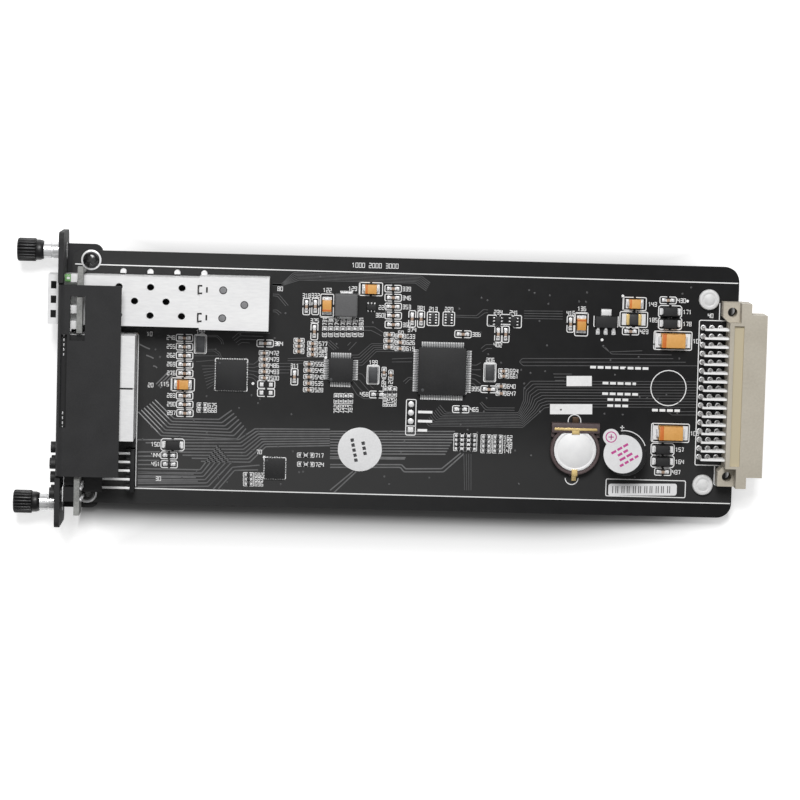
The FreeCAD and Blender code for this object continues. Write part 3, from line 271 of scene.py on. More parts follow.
near_bundles = (
    # behind the jacks and the link pins
    ([(-63.6, -10.9), (-62.7, -11.7), (-49.6, -11.6), (-45.9, -8.8)],
     [(-67.4, -15.8), (-66.5, -16.8), (-44.2, -17.2), (-41.6, -14.1)], 7),
    ([(-73.6, -18.2), (-43.6, -17.4), (-39.0, -14.1), (-17.0, -13.7)],
     [(-54.6, -24.1), (-40.3, -24.0), (-35.7, -19.3), (-16.9, -18.5)], 8),
    ([(-73.1, -26.7), (-54.8, -26.6), (-49.6, -19.3)], [(-73.0, -32.1), (-52.2, -31.4), (-45.6, -24.1)], 6),
    ([(-50.8, -32.2), (-45.3, -25.6), (-37.4, -24.8)], [(-49.3, -32.1), (-44.7, -26.5), (-37.8, -26.2)], 2),
    ([(-73.2, -21.8), (-66.6, -21.6)], [(-73.1, -25.5), (-66.9, -25.4)], 4),
    ([(-73.3, 9.9), (-71.2, 8.9), (-70.2, 8.6)], [(-69.2, 3.6), (-68.6, 3.6), (-68.0, 3.1)], 3),
    ([(-68.2, -1.7), (-64.5, 2.2)], [(-67.0, -2.8), (-63.3, 1.1)], 3),
    # along the lower half
    ([(-17.0, -14.3), (19.7, -13.4)], [(-17.0, -15.0), (19.7, -14.3)], 2),
    ([(-16.9, -15.8), (19.7, -15.0)], [(-16.8, -20.9), (17.1, -20.2)], 7),
    ([(-16.8, -21.8), (5.4, -21.5)], [(-16.8, -22.3), (5.2, -21.9)], 2),
    ([(-16.7, -24.1), (4.3, -23.6), (5.5, -24.8), (16.1, -24.5), (21.6, -19.7)],
     [(-16.7, -24.9), (4.0, -24.4), (5.0, -25.7), (16.7, -25.4), (22.5, -19.9)], 2),
    ([(-16.5, -31.7), (-9.9, -25.9)], [(-15.4, -32.4), (-9.0, -26.0)], 2),
    ([(-73.0, -30.4), (-55.4, -30.0)], [(-73.0, -28.0), (-56.6, -27.9)], 3))
# these tracks toward the front end and near side are a paler copy of the copper: painted sheen, as on the resist
# there
sheen_track = finish("copper_painted_sheen", (90, 90, 91), (112, 112, 113), 0.3, 0.42, scale=420.0, depth=0.03)
etched("near_tracks", near_bundles, 0.38, sheen_track)
far_bundles = (
    # from the large chip to the backplane connector
    ([(15.0, -5.7), (16.9, -7.8), (38.2, -7.4), (39.6, -3.5), (39.5, -0.2), (41.5, 2.0), (90.6, 3.1)],
     [(11.0, -10.5), (11.9, -12.0), (39.5, -11.7), (44.0, -7.5), (45.7, -5.8), (47.8, -5.4), (90.9, -4.5)], 10),
    ([(26.8, -4.8), (28.5, -6.8), (37.0, -6.7)], [(27.2, -4.5), (29.0, -6.2), (37.0, -6.0)], 2),
    ([(37.9, 7.6), (38.8, 8.6), (83.1, 9.7)], [(37.9, 7.6), (39.1, 6.5), (90.5, 7.8)], 3),
    ([(38.9, 22.6), (50.2, 22.8)], [(38.9, 20.4), (50.3, 20.5)], 4),
    ([(62.0, 13.0), (64.2, 11.2), (73.9, 11.8)], [(63.0, 12.6), (64.9, 10.6), (82.6, 10.8)], 2),
    ([(48.0, 4.3), (53.5, 4.4)], [(48.6, 2.4), (51.3, 2.5)], 3),
    ([(81.7, -5.8), (83.3, -6.9), (90.8, -6.7)], [(82.8, -5.0), (84.0, -5.9), (90.8, -5.7)], 2),
    ([(22.5, -19.9), (23.0, -30.7)], [(24.6, -19.9), (24.9, -30.7)], 4),
    # behind the optics cage and along the upper edge
    ([(-34.9, 28.7), (-32.2, 28.7), (-28.8, 32.0), (8.5, 32.0), (11.2, 30.1)],
     [(-34.9, 28.2), (-31.9, 28.2), (-27.1, 29.9), (6.9, 29.9), (10.1, 27.7)], 6),
    ([(-46.3, 12.3), (-44.3, 14.1), (-35.3, 14.1)], [(-44.6, 10.4), (-43.4, 11.2), (-41.1, 11.1)], 4),
    ([(-53.7, 13.0), (-50.7, 13.1), (-49.1, 11.8), (-48.7, 10.5)],
     [(-53.7, 12.6), (-50.8, 12.7), (-49.6, 11.5), (-49.2, 10.5)], 2),
    ([(-53.6, 8.9), (-51.3, 9.0), (-49.8, 8.0), (-49.3, 6.7)],
     [(-53.6, 8.4), (-51.5, 8.5), (-50.2, 7.6), (-49.8, 6.7)], 2),
    ([(-57.3, 6.9), (-50.2, 7.1)], [(-56.7, 5.2), (-51.3, 5.8)], 2),
    ([(-55.0, 4.0), (-51.2, 4.1)], [(-53.3, -2.6), (-50.9, -1.0)], 8),
    ([(-41.7, 4.9), (-39.8, 4.9), (-38.5, 6.0)], [(-41.6, 1.1), (-39.9, 0.8), (-38.4, -0.7)], 5),
    ([(-34.7, 25.6), (-33.0, 25.6), (-30.1, 22.4)], [(-34.7, 25.1), (-33.3, 25.0), (-30.8, 22.2)], 2),
    ([(-34.6, 20.9), (-33.4, 21.0), (-32.1, 20.0)], [(-34.5, 20.4), (-33.6, 20.4), (-32.7, 19.5)], 2),
    # around the two flat packs
    ([(-29.9, 6.8), (-18.3, 7.5)], [(-29.9, 6.2), (-18.3, 6.5)], 2),
    ([(-33.1, 5.3), (-25.4, 5.5)], [(-33.0, 2.5), (-29.4, 2.6)], 4),
    ([(-11.3, 8.3), (-9.2, 8.4), (-5.6, 11.8), (-1.4, 11.9)],
     [(-9.5, 5.4), (-8.0, 5.4), (-4.0, 9.6), (6.5, 9.7)], 5),
    ([(-8.7, 16.7), (-4.9, 16.8), (-1.9, 15.0)], [(-8.7, 15.7), (-5.7, 15.7), (-2.6, 14.2)], 2),
    ([(-19.5, 12.3), (-16.4, 9.6)], [(-17.8, 12.5), (-15.1, 10.2)], 3),
    ([(-9.9, 12.2), (-12.1, 9.7)], [(-11.6, 12.1), (-12.5, 11.1)], 2),
    ([(0.6, 7.5), (6.6, 7.9)], [(0.6, 6.6), (6.6, 6.8)], 2),
    ([(18.6, 20.8), (25.0, 20.8), (27.0, 22.7), (28.3, 22.6)],
     [(18.6, 20.3), (25.4, 20.2), (27.4, 21.7), (28.3, 21.8)], 2),
    ([(-9.5, 3.1), (-8.0, 2.8), (-5.2, -0.9), (-4.5, -1.3)],
     [(-11.3, -0.3), (-9.3, -3.3), (-7.4, -4.4), (-5.1, -4.4)], 4),
    ([(23.3, 6.3), (25.4, 6.3), (26.7, 7.1)], [(23.5, 1.0), (24.8, 0.8), (26.8, -1.2)], 5),
    ([(4.1, 0.9), (5.6, 2.2), (6.7, 2.2)], [(4.7, 0.3), (6.0, 1.7), (6.7, 1.7)], 2),
    ([(26.6, 11.2), (27.9, 12.4), (30.1, 12.5)], [(27.0, 10.3), (28.3, 11.3), (29.8, 11.3)], 2))
track = finish("copper_under_resist", (70, 70, 71), (88, 88, 89), 0.3, 0.42, scale=420.0, depth=0.03,
               Specular_IOR_Level=0.35)
etched("copper_tracks", far_bundles, 0.2, track)
# these run square to the light and shine
shiny = finish("shining_track", (136, 136, 137), (168, 168, 169), 0.3, 0.42, scale=420.0, depth=0.03)
jack_bundle = ([(-68.4, -6.3), (-63.6, -10.9)], [(-73.2, -10.0), (-67.4, -15.8)], 7)
etched("jack_tracks", [jack_bundle], 0.3, shiny, bend=0.0, rise=0.021)

# one part set out on many points, each turned about the upright by the point's own angle
seats = bpy.data.node_groups.new("seated_parts", "GeometryNodeTree")
sockets(seats, [("Spots", "Geometry", None), ("Part", "Object", None), ("Finish", "Material", None)],
        [("Parts", "Geometry")])
entry = node(seats, "NodeGroupInput")
part = node(seats, "GeometryNodeObjectInfo", {"Object": entry["Part"]})
angle = node(seats, "GeometryNodeInputNamedAttribute", {"Name": "turn"}, data_type="FLOAT")
angle = node(seats, "ShaderNodeCombineXYZ", {"Z": angle[0]})
stood = node(seats, "GeometryNodeInstanceOnPoints",
             {"Points": entry["Spots"], "Instance": part["Geometry"], "Rotation": angle[0]})
ended(seats, stood[0], entry["Finish"])


def seated(name, spots, mesh, paint, stands_for=(), sharp=38.0):
    """Sets a part out at (x, y, z, degrees) spots in millimetres."""
    model = placed("model", mesh)
    points = bpy.data.meshes.new(name)
    points.from_pydata([(x / MM, y / MM, z / MM) for x, y, z, turn in spots], [], [])
    turns = points.attributes.new("turn", "FLOAT", "POINT")
    for here, spot in zip(turns.data, spots):
        here.value = math.radians(spot[3])
    made = realised(name, points, seats, Part=model, Finish=paint)
    bpy.data.objects.remove(model)
    return piece(name, made, stands_for=stands_for, sharp=sharp)


def baked(made):
    """Turns a bmesh into a mesh and frees it."""
    mesh = bpy.data.meshes.new("baked")
    made.to_mesh(mesh)
    made.free()
    return mesh


def turned(outline, steps, middle=(0, 0, 0), axis="z", ribs=None):
    """A turned mesh from (along, radius) points in millimetres. ribs is (count, depth, first, last):
    ridges on the outline's points from first to last."""
    made = bmesh.new()
    rings = []
    for index, (along, radius) in enumerate(outline):
        ring = []
        for step in range(1 if radius == 0 else steps):
            turn = 2 * math.pi * step / steps
            reach = radius
            if ribs and ribs[2] <= index <= ribs[3]:
                reach -= ribs[1] * abs(math.cos(ribs[0] * turn / 2)) ** 6
            away = (reach * math.cos(turn), reach * math.sin(turn))
            spot = (along, *away) if axis == "x" else (*away, along)
            ring.append(made.verts.new((Vector(spot) + Vector(middle)) / MM))
        rings.append(ring)
    for near, far in zip(rings, rings[1:]):
        for step in range(steps):
            corners = [near[step % len(near)], near[(step + 1) % len(near)],
                       far[(step + 1) % len(far)], far[step % len(far)]]
            corners = list(dict.fromkeys(corners))
            if len(corners) > 2:
                made.faces.new(corners)
    bmesh.ops.remove_doubles(made, verts=made.verts, dist=1e-8)
    bmesh.ops.recalc_face_normals(made, faces=made.faces)
    return baked(made)


def disc(radius, height, steps, bore=0.0):
    """A low round dot, or a ring where it has a bore, with a softened rim."""
    return turned([(0, radius), (height * 0.6, radius), (height, radius * 0.9), (height, bore)], steps)


chance = random.Random(11)
holes = [(chance.uniform(-72, 88), chance.uniform(-31, 31), board_top, 0) for i in range(150)]
seated("filled_holes", holes, disc(0.3, 0.03, 10), track)

# Chip capacitors and resistors
# Small ceramic blocks with tinned ends, soldered across pairs of pads by machine. Capacitors are bare
# tan ceramic; resistors have a glazed black top.


def islands(name):
    """The box of each separate solid in a CAD node, in millimetres."""
    shape = bmesh.new()
    shape.from_mesh(nodes[name].data)
    bmesh.ops.remove_doubles(shape, verts=shape.verts, dist=1e-6)
    waiting, found = set(shape.verts), []
    for seed in shape.verts:
        if seed not in waiting:
            continue
        waiting.discard(seed)
        reached, spots = [seed], []
        while reached:
            here = reached.pop()
            spots.append(here.co * MM)
            for side in here.link_edges:
                other = side.other_vert(here)
                if other in waiting:
                    waiting.discard(other)
                    reached.append(other)
        low, high = (Vector([pick(spot[i] for spot in spots) for i in range(3)]) for pick in (min, max))
        found.append((low, high))
    shape.free()
    return sorted(found, key=lambda box: (round(box[0].x, 2), round(box[0].y, 2)))


def seats_of(name, keep=lambda size: True):
    """(x, y, z, degrees) of each solid of a node that keep() takes, turned where it lies across the card."""
    spots = []
    for low, high in islands(name):
        size = high - low
        if keep(sorted(size.xy)):
            spots.append((round((low.x + high.x) / 2, 3), round((low.y + high.y) / 2, 3), round(low.z, 3),
                          0 if size.x >= size.y else 90))
    return spots


def blocks(boxes, bevel, segments=2):
    """One mesh of softened blocks: each is its foot's middle, its size, and the share its top keeps."""
    made = bmesh.new()
    for middle, size, *keep in boxes:
        narrow = keep[0] if keep else (1, 1)
        corners = bmesh.ops.create_cube(made, size=1)["verts"]
        for corner in corners:
            up = corner.co.z > 0
            corner.co = Vector((middle[0] + corner.co.x * size[0] * (narrow[0] if up else 1),
                                middle[1] + corner.co.y * size[1] * (narrow[1] if up else 1),
                                middle[2] + (size[2] if up else 0))) / MM
        if bevel:
            sides = list({side for corner in corners for side in corner.link_edges})
            bmesh.ops.bevel(made, geom=sides, offset=bevel / MM, segments=segments, profile=0.6, affect="EDGES")
    return baked(made)


tin = finish("bright_tin", (222, 222, 223), (240, 240, 240), 0.28, 0.42, scale=900.0, depth=0.06, Metallic=0.25)
ceramic = finish("ceramic_tan", (146, 120, 102), (172, 148, 130), 0.4, 0.55, scale=1600.0, depth=0.1)
glaze = finish("resistor_glaze", (34, 34, 36), (50, 50, 52), 0.25, 0.4, scale=1600.0, depth=0.05)


def paired(*boxes):
    """Blocks and the same ones mirrored along x."""
    return [((side * x, y, z), *rest) for side in (-1, 1) for (x, y, z), *rest in boxes]


def tinned(name, spots, boxes, bevel, segments=2):
    """Tinned blocks at each spot."""
    return seated(name, spots, blocks(boxes, bevel, segments), tin)


close_by = 2.2


def crowded(spots):
    """Parts with a neighbour close by have short pads, the others long ones."""
    near = {spot: min(math.dist(spot[:2], other[:2]) for other in every_chip if other != spot) for spot in spots}
    return ([spot for spot in spots if near[spot] < close_by],
            [spot for spot in spots if near[spot] >= close_by])


every_chip = seats_of("ceramic_capacitors") + seats_of("chip_resistors")
roomy_chips, close_chips = [], []
for label, cad, height, paint, slot in (("capacitor", "ceramic_capacitors", 0.8, ceramic, "ceramic_tan"),
                                        ("resistor", "chip_resistors", 0.45, glaze, "resistor_black")):
    spots = seats_of(cad)
    seated(label + "_bodies", spots, blocks([((0, 0, 0.03), (1.0, 0.78, height - 0.05))], 0.07), paint, [cad])
    close, roomy = crowded(spots)
    roomy_chips += roomy
    close_chips += close
    for kind, group, reach, width in (("long", roomy, 1.05, 1.05), ("short", close, 0.34, 0.62)):
        ends = paired(((0.64, 0, 0), (0.36, 0.82, height)),
                      ((0.75 + reach / 2, 0, 0), (reach + 0.1, width, 0.06), (0.95, 0.93)),
                      ((0.98, 0, 0), (0.5, 0.8, height * 0.6), (0.35, 0.85)))
        if group:
            tinned(f"{label}_ends_{kind}", group, ends, 0.05, 1)

# Tantalum capacitors and diodes
# Moulded blocks with a tinned strap folded under each end, on broad pads. A darker band is printed on
# each capacitor's positive end.
orange = finish("tantalum_orange", (212, 152, 74), (226, 170, 94), 0.4, 0.52, scale=1200.0, depth=0.08)
band = finish("tantalum_band", (196, 98, 30), (214, 118, 44), 0.4, 0.52, scale=1200.0, depth=0.06)
chip_epoxy = finish("chip_epoxy", (33, 33, 34), (44, 44, 45), 0.48, 0.62, scale=2400.0, depth=0.2,
                    Specular_IOR_Level=0.3)
tantalums = []
for label, length, width, height in (("large", 7.3, 4.3, 2.9), ("small", 3.5, 2.8, 1.9)):
    spots = seats_of("tantalum_capacitors", lambda size: abs(size[1] - length) < 0.1)
    spots = [(x, y, z, -90 if turn and x > 0 else turn) for x, y, z, turn in spots]
    tantalums += [(spot, length, width) for spot in spots]
    body = blocks([((0, 0, 0.1), (length, width, height - 0.1), (0.95, 0.92))], 0.14)
    seated(f"tantalum_{label}_bodies", spots, body, orange, ["tantalum_capacitors"])
    wide = 0.17 * length
    top = blocks([((-length * 0.475 + wide / 2 + 0.14, 0, height * 0.5),
                   (wide, width * 0.972, height * 0.5 + 0.015), (1, 0.945))], 0.1)
    seated(f"tantalum_{label}_bands", spots, top, band)
    straps = paired(((length / 2, 0, 0.05), (0.3, width * 0.55, height * 0.55), (1, 0.95)),
                    ((length / 2 + 0.2, 0, 0), (length * 0.36, width * 0.97, 0.07)),
                    ((length / 2 + 0.3, 0, 0), (0.7, width * 0.6, height * 0.36), (0.4, 0.9)))
    tinned(f"tantalum_{label}_straps", spots, straps, 0.06, 1)
diodes = seats_of("diodes")
seated("diode_bodies", diodes, blocks([((0, 0, 0.1), (4.3, 2.6, 2.0), (0.93, 0.9))], 0.14), chip_epoxy,
       ["diodes"])
straps = paired(((2.25, 0, 0.0), (0.4, 1.5, 0.9), (0.8, 0.95)), ((2.35, 0, 0), (1.5, 2.0, 0.07)))
tinned("diode_straps", diodes, straps, 0.06, 1)

# Fuse, crystals and resistor arrays
# A resettable fuse with gilt ends, crystals in low tinned cans, and four-way resistor arrays.
gilt = finish("gold_flash", (218, 188, 122), (240, 214, 154), 0.2, 0.32, scale=900.0, depth=0.04, Metallic=0.6)
fuse = seats_of("fuse")
seated("fuse_body", fuse, blocks([((0, 0, 0.05), (3.4, 3.0, 0.8))], 0.1), glaze, ["fuse"])
seated("fuse_ends", fuse, blocks(paired(((1.75, 0, 0), (0.95, 3.2, 0.92))), 0.12), gilt)
tinned("fuse_pads", fuse, paired(((2.75, 0, 0), (1.5, 3.4, 0.07))), 0.03, 1)
can = finish("crystal_can", (66, 67, 69), (82, 83, 85), 0.3, 0.42, scale=700.0, stretch=(1, 6, 1), depth=0.05,
             Metallic=0.5)
crystals = seats_of("crystals")
seated("crystal_cans", crystals, blocks([((0, 0, 0.1), (4.75, 2.65, 1.0), (0.97, 0.95))], 0.16), can,
       ["crystals"])
feet = paired(((2.0, 0, 0), (1.3, 3.0, 0.18))) + [((0, 0, 0), (5.0, 2.9, 0.3))]
seated("crystal_feet", crystals, blocks(feet, 0.08, 1), tin)
arrays = seats_of("resistor_arrays")
seated("array_bodies", arrays, blocks([((0, 0, 0.03), (3.2, 1.1, 0.5))], 0.06), glaze,
       ["resistor_arrays"])
tinned("array_ends", arrays, [(((i - 1.5) * 0.8, side * 0.85, 0), (0.45, 0.8, 0.4), (0.9, 0.6))
                              for i in range(4) for side in (-1, 1)], 0.05, 1)

# Flat-pack chips
# Black epoxy packages. The two larger ones stand on rows of bent tinned leads, the other two sit flat
# on pads that show round their edges. A small round dent marks the first lead.
leg = blocks([((0.15, 0, 0.62), (0.42, 0.2, 0.14)), ((0.42, 0, 0.05), (0.16, 0.2, 0.68)),
              ((0.75, 0, 0.02), (0.62, 0.2, 0.13))], 0.03, 1)
lead_grey = finish("lead_grey", (150, 151, 153), (188, 189, 190), 0.3, 0.42, scale=900.0, depth=0.05, Metallic=0.6)
lead_pitch = 0.5


def lead_spots(x, y, size, count):
    """A spot for each lead along a chip's four sides, turned outward."""
    spots = []
    for turn in (0, 90, 180, 270):
        for i in range(count):
            side = Vector((size / 2, (i - (count - 1) / 2) * lead_pitch))
            away = Matrix.Rotation(math.radians(turn), 2) @ side
            spots.append((x + away.x, y + away.y, board_top, turn))
    return spots


for label, size, count in (("processor", 14.0, 25), ("interface", 7.0, 12)):
    low, high = extent(label + "_chip")
    x, y = ((low + high) / 2).xy
    spots = lead_spots(x, y, size, count)
    seated(label + "_leads", spots, leg, lead_grey)
    seated(label + "_body", [(x, y, low.z, 0)], blocks([((0, 0, 0), (size, size, 0.7)),
                                                        ((0, 0, 0.68), (size, size, 0.72), (0.985, 0.985))], 0.1),
           chip_epoxy, [label + "_chip"])
    seated(label + "_dent", [(x - size * 0.4, y - size * 0.4, high.z - 0.01, 0)], disc(0.45, 0.02, 24), can)
    tinned(label + "_pads", spots, [((0.85, 0, 0), (1.3, 0.3, 0.04))], 0)
for label, size, count in (("network", 9.0, 16), ("clock", 6.0, 10)):
    low, high = extent(label + "_chip")
    x, y = ((low + high) / 2).xy
    tinned(label + "_pads", lead_spots(x, y, size, count), [((0.12, 0, 0), (0.5, 0.28, 0.1), (0.9, 0.9))], 0.02, 1)
    seated(label + "_body", [(x, y, low.z, 0)], blocks([((0, 0, 0), (size, size, high.z - low.z))], 0.08),
           chip_epoxy, [label + "_chip"])
    seated(label + "_dent", [(x - size * 0.38, y + size * 0.38, high.z - 0.01, 0)], disc(0.3, 0.02, 20), can)
small = seats_of("small_chips")
seated("small_chip_bodies", small, blocks([((0, 0, 0.1), (2.9, 1.7, 1.0), (0.95, 0.9))], 0.1), chip_epoxy,
       ["small_chips"])
tinned("small_chip_leads", small, [(((i - 1) * 0.95, side * 1.1, 0), (0.4, 0.8, 0.5), (0.9, 0.4))
                                   for i in range(3) for side in (-1, 1)], 0.04, 1)

# Power inductor and regulator
# A pressed ferrite block with a tinned strap at each end, and a regulator whose wide tab and three
# leads are soldered down.
ferrite = finish("ferrite_grey", (84, 84, 85), (100, 100, 101), 0.55, 0.7, scale=2000.0, depth=0.25)
coil = [(*spot[:3], 0) for spot in seats_of("power_inductor")]
seated("inductor_body", coil, blocks([((0, 0, 0.1), (6.9, 6.9, 2.9), (0.96, 0.96))], 0.45, 3), ferrite,
       ["power_inductor"])
tinned("inductor_straps", coil, [((0, side * 3.5, 0), (3.9, 1.3, 0.9), (0.9, 0.5)) for side in (-1, 1)], 0.12)
low, high = extent("regulator")
regulator = [(*((low + high) / 2).xy, low.z, 0)]
body = blocks([((0, 0, 0.05), (6.5, 3.5, 0.8)), ((0, 0, 0.83), (6.5, 3.5, 0.77), (0.95, 0.9))], 0.08)
seated("regulator_body", regulator, body, chip_epoxy, ["regulator"])
legs = [((0, 2.75, 0.0), (3.1, 2.1, 0.5), (0.95, 0.8))]
for x in (-2.3, 0, 2.3):
    legs += [((x, -1.95, 0.55), (0.72, 0.5, 0.25)), ((x, -2.3, 0.0), (0.72, 0.3, 0.8)),
             ((x, -2.9, 0.0), (0.75, 1.2, 0.3), (0.9, 0.8)), ((x, -3.0, 0), (1.1, 1.5, 0.06))]
seated("regulator_legs", regulator, blocks(legs, 0.08), tin, ["regulator_leads"])

# White print
# Part outlines, plain part numbers, frames and marks, screen-printed on the resist in white ink before
# any part goes on.
ink = finish("white_print", (232, 232, 232), (248, 248, 248), 0.5, 0.65, scale=1500.0, depth=0.1,
             Specular_IOR_Level=0.25)


def inked(name, runs, width, bend=0.0):
    """White print in lines of one width."""
    return printed(name, runs, width, bend, board_top + 0.03, ink)


def about(spot, runs):
    """Runs drawn about a part's middle, turned as the part is."""
    turn = Matrix.Rotation(math.radians(spot[3]), 2)
    return [[tuple(turn @ Vector(point) + Vector(spot[:2])) for point in run] for run in runs]


def brackets(long, wide, gap=0.35):
    """A facing pair of brackets, each ending at gap from the middle."""
    return [[(side * gap, wide), (side * long, wide), (side * long, -wide), (side * gap, -wide)]
            for side in (-1, 1)]


def ring_of(x, y, radius, first=0.0, last=360.0, steps=24):
    """A run round a circle, or along a part of it between two angles."""
    turns = [math.radians(first + (last - first) * i / steps) for i in range(steps + 1)]
    run = [(x + radius * math.cos(turn), y + radius * math.sin(turn)) for turn in turns]
    return run[:-1] + [run[0]] if last - first == 360 else run


def box_of(x1, y1, x2, y2):
    """A run round a box between two corners."""
    return [(x1, y1), (x2, y1), (x2, y2), (x1, y2), (x1, y1)]


close_outlines = [run for spot in close_chips for run in about(spot, brackets(1.5, 0.64, 0.25))]
inked("print_close", close_outlines, 0.18, 0.2)
diode_half = [(0.4, 1.75), (2.9, 1.75), (3.4, 1.25), (3.4, -1.25), (2.9, -1.75), (0.4, -1.75)]
outlines = []
for spots, runs in ((roomy_chips, brackets(2.4, 1.0)),
                    (diodes, [[(side * x, y) for x, y in diode_half] for side in (1, -1)]),
                    (fuse, brackets(4.05, 2.25, 0.5)),
                    (crystals, [box_of(-2.75, -1.75, 2.75, 1.75)]),
                    (arrays, [box_of(-2.0, -1.7, 2.0, 1.7)]),
                    (regulator, [[(side * 3.2, -1.5), (side * 3.55, -1.5), (side * 3.55, 1.7)] for side in (-1, 1)])):
    for spot in spots:
        outlines += about(spot, runs)
for spot, length, width in tantalums:
    big = length > 5
    outlines += about(spot, brackets(length / 2 + 1.9, width / 2 + 0.55, 0.0) if big else
                      brackets(length / 2 + 1.65, width / 2 + 0.5))
    outlines += about(spot, [[(-length / 2 - 1.45, width / 2 + 0.5), (-length / 2 - 1.45, -width / 2 - 0.5)]])
for label, reach in (("network", 4.75), ("clock", 3.2)):
    low, high = extent(label + "_chip")
    for turn in (0, 90, 180, 270):
        outlines += about((*(low + high) / 2, turn), [[(reach, reach - 1.1), (reach, reach), (reach - 1.1, reach)]])
# two places left without a part show their tinned pads
bare = [(-36.0, -1.0), (-36.0, -3.4)]
for spot in bare:
    outlines += about((*spot, 0, 0), brackets(2.5, 1.1))
bare = [(x + side * 1.35, y, board_top, 0) for x, y in bare for side in (-1, 1)]
tinned("bare_pads", bare, [((0, 0, 0), (1.1, 1.2, 0.08), (0.95, 0.95))], 0.03)
# the row of switch pads, the header, the connector's contacts and the jacks
outlines += [box_of(28.2, 17.9, 30.9, 21.1), box_of(31.9, 18.5, 35.5, 21.4), box_of(35.8, 17.6, 38.2, 21.2)]
outlines += [box_of(5.2, -4.3, 8.05, -14.8), [(5.2, -12.1), (8.05, -12.1)]]
outlines += [[(99.0, 21.2), (90.4, 21.2), (90.6, -21.5), (99.0, -21.5)], [(96.2, 26.4), (96.2, 21.2)],
             [(96.4, -21.5), (96.4, -27.1), (97.5, -27.5)]]
outlines += [[(-76.1, 12.8), (-73.6, 12.8), (-73.6, -32.0)]]
# the label's frame, the cell's tags and the buzzer
outlines += [box_of(64.6, -26.3, 88.0, -31.3), ring_of(54.7, -9.4, 1.85, 0, 180),
             ring_of(54.4, -26.3, 1.9, 180, 360)]
outlines += [[(52.85, -9.4), (52.85, -10.4)], [(56.55, -9.4), (56.55, -10.4)], ring_of(69.6, -18.4, 6.5, 20, 100),
             [(68.2, -11.0), (69.4, -11.0)], [(68.8, -10.4), (68.8, -11.6)]]
# a plain round mark and blank fields for notes
outlines += [ring_of(82.0, 1.0, 5.2)]
inked("print_outlines", outlines, 0.26, 0.4)
inked("print_borders", [[(-92.5, 32.9), (101.4, 32.3)], [(-80.2, -32.5), (101.4, -32.7)]], 0.3)
inked("print_fields", [[(47.4, -6.1), (59.8, -5.8)], [(52.0, 2.3), (59.4, 2.5)]], 3.0)
bars, dash, dash_pitch = [], 1.7, 2.2
for x, y, reach in ((58.8, 6.6, 17.6), (62.6, 2.0, 9.8), (62.6, -1.1, 11.0), (64.2, -2.8, 6.6), (64.2, -4.6, 6.2),
                    (77.4, -5.6, 8.2)):
    starts = [i * dash_pitch for i in range(math.ceil(reach / dash_pitch))]
    bars += [[(x + start, y), (x + min(start + dash, reach), y)] for start in starts]
bars += [[(8.7, y), (8.7 + reach, y)] for y, reach in ((-7.9, 4.2), (-10.6, 4.2), (-13.3, 2.8))]
inked("print_bars", bars, 0.75)
marks = [(62.0, 14.7), (67.7, 27.7), (86.7, 26.7), (-39.9, -0.8), (-42.1, -2.9), (-33.0, 11.1), (22.3, -2.1),
         (-18.8, 7.4), (-36.1, -22.4)]
seated("print_dots", [(x, y, board_top, 0) for x, y in marks], disc(0.42, 0.04, 20), ink)
# the header's plated holes are filled with solder, and the first has a square pad
header_x, header_y, header_pitch = 6.6, -5.7, 2.5
holes = [(header_x, header_y - header_pitch * i, board_top, 0) for i in range(3)]
seated("header_pads", holes, disc(0.86, 0.14, 28), tin)
pad = blocks([((header_x, header_y - header_pitch * 3, board_top), (1.75, 1.55, 0.14), (0.9, 0.9))], 0.05)
piece("header_first_pad", pad, tin)

# each figure as strokes on a grid two wide and four high
strokes = {"0": [[(0, 0), (2, 0), (2, 4), (0, 4), (0, 0)]], "1": [[(1, 0), (1, 4), (0, 3)]],
           "2": [[(0, 4), (2, 4), (2, 2), (0, 2), (0, 0), (2, 0)]],
           "3": [[(0, 4), (2, 4), (2, 0), (0, 0)], [(0, 2), (2, 2)]],
           "4": [[(0, 4), (0, 2), (2, 2)], [(2, 4), (2, 0)]],
           "5": [[(2, 4), (0, 4), (0, 2), (2, 2), (2, 0), (0, 0)]],
           "6": [[(2, 4), (0, 4), (0, 0), (2, 0), (2, 2), (0, 2)]], "7": [[(0, 4), (2, 4), (1, 0)]],
           "8": [[(0, 0), (2, 0), (2, 4), (0, 4), (0, 0)], [(0, 2), (2, 2)]],
           "9": [[(2, 2), (0, 2), (0, 4), (2, 4), (2, 0), (0, 0)]]}


def figures(number, x, y, turn=0, height=1.15):
    """A number in strokes, with its middle at x, y."""
    step = height / 4
    shift = (3 * len(str(number)) - 1) / 2
    runs = [[((a + 3 * place - shift) * step, (b - 2) * step) for a, b in run]
            for place, figure in enumerate(str(number)) for run in strokes[figure]]
    return about((x, y, 0, turn), runs)


large = [(spot, length / 2 + 2.2, width / 2 + 0.8) for spot, length, width in tantalums]
every_part = large + [(spot, long, wide) for spots, long, wide in (
    (diodes, 3.7, 2.0), (fuse, 4.4, 2.4), (crystals, 3.0, 2.0), (arrays, 2.2, 2.0), (small, 2.0, 2.0),
    (roomy_chips, 2.6, 1.1), (close_chips, 1.7, 0.7)) for spot in spots]
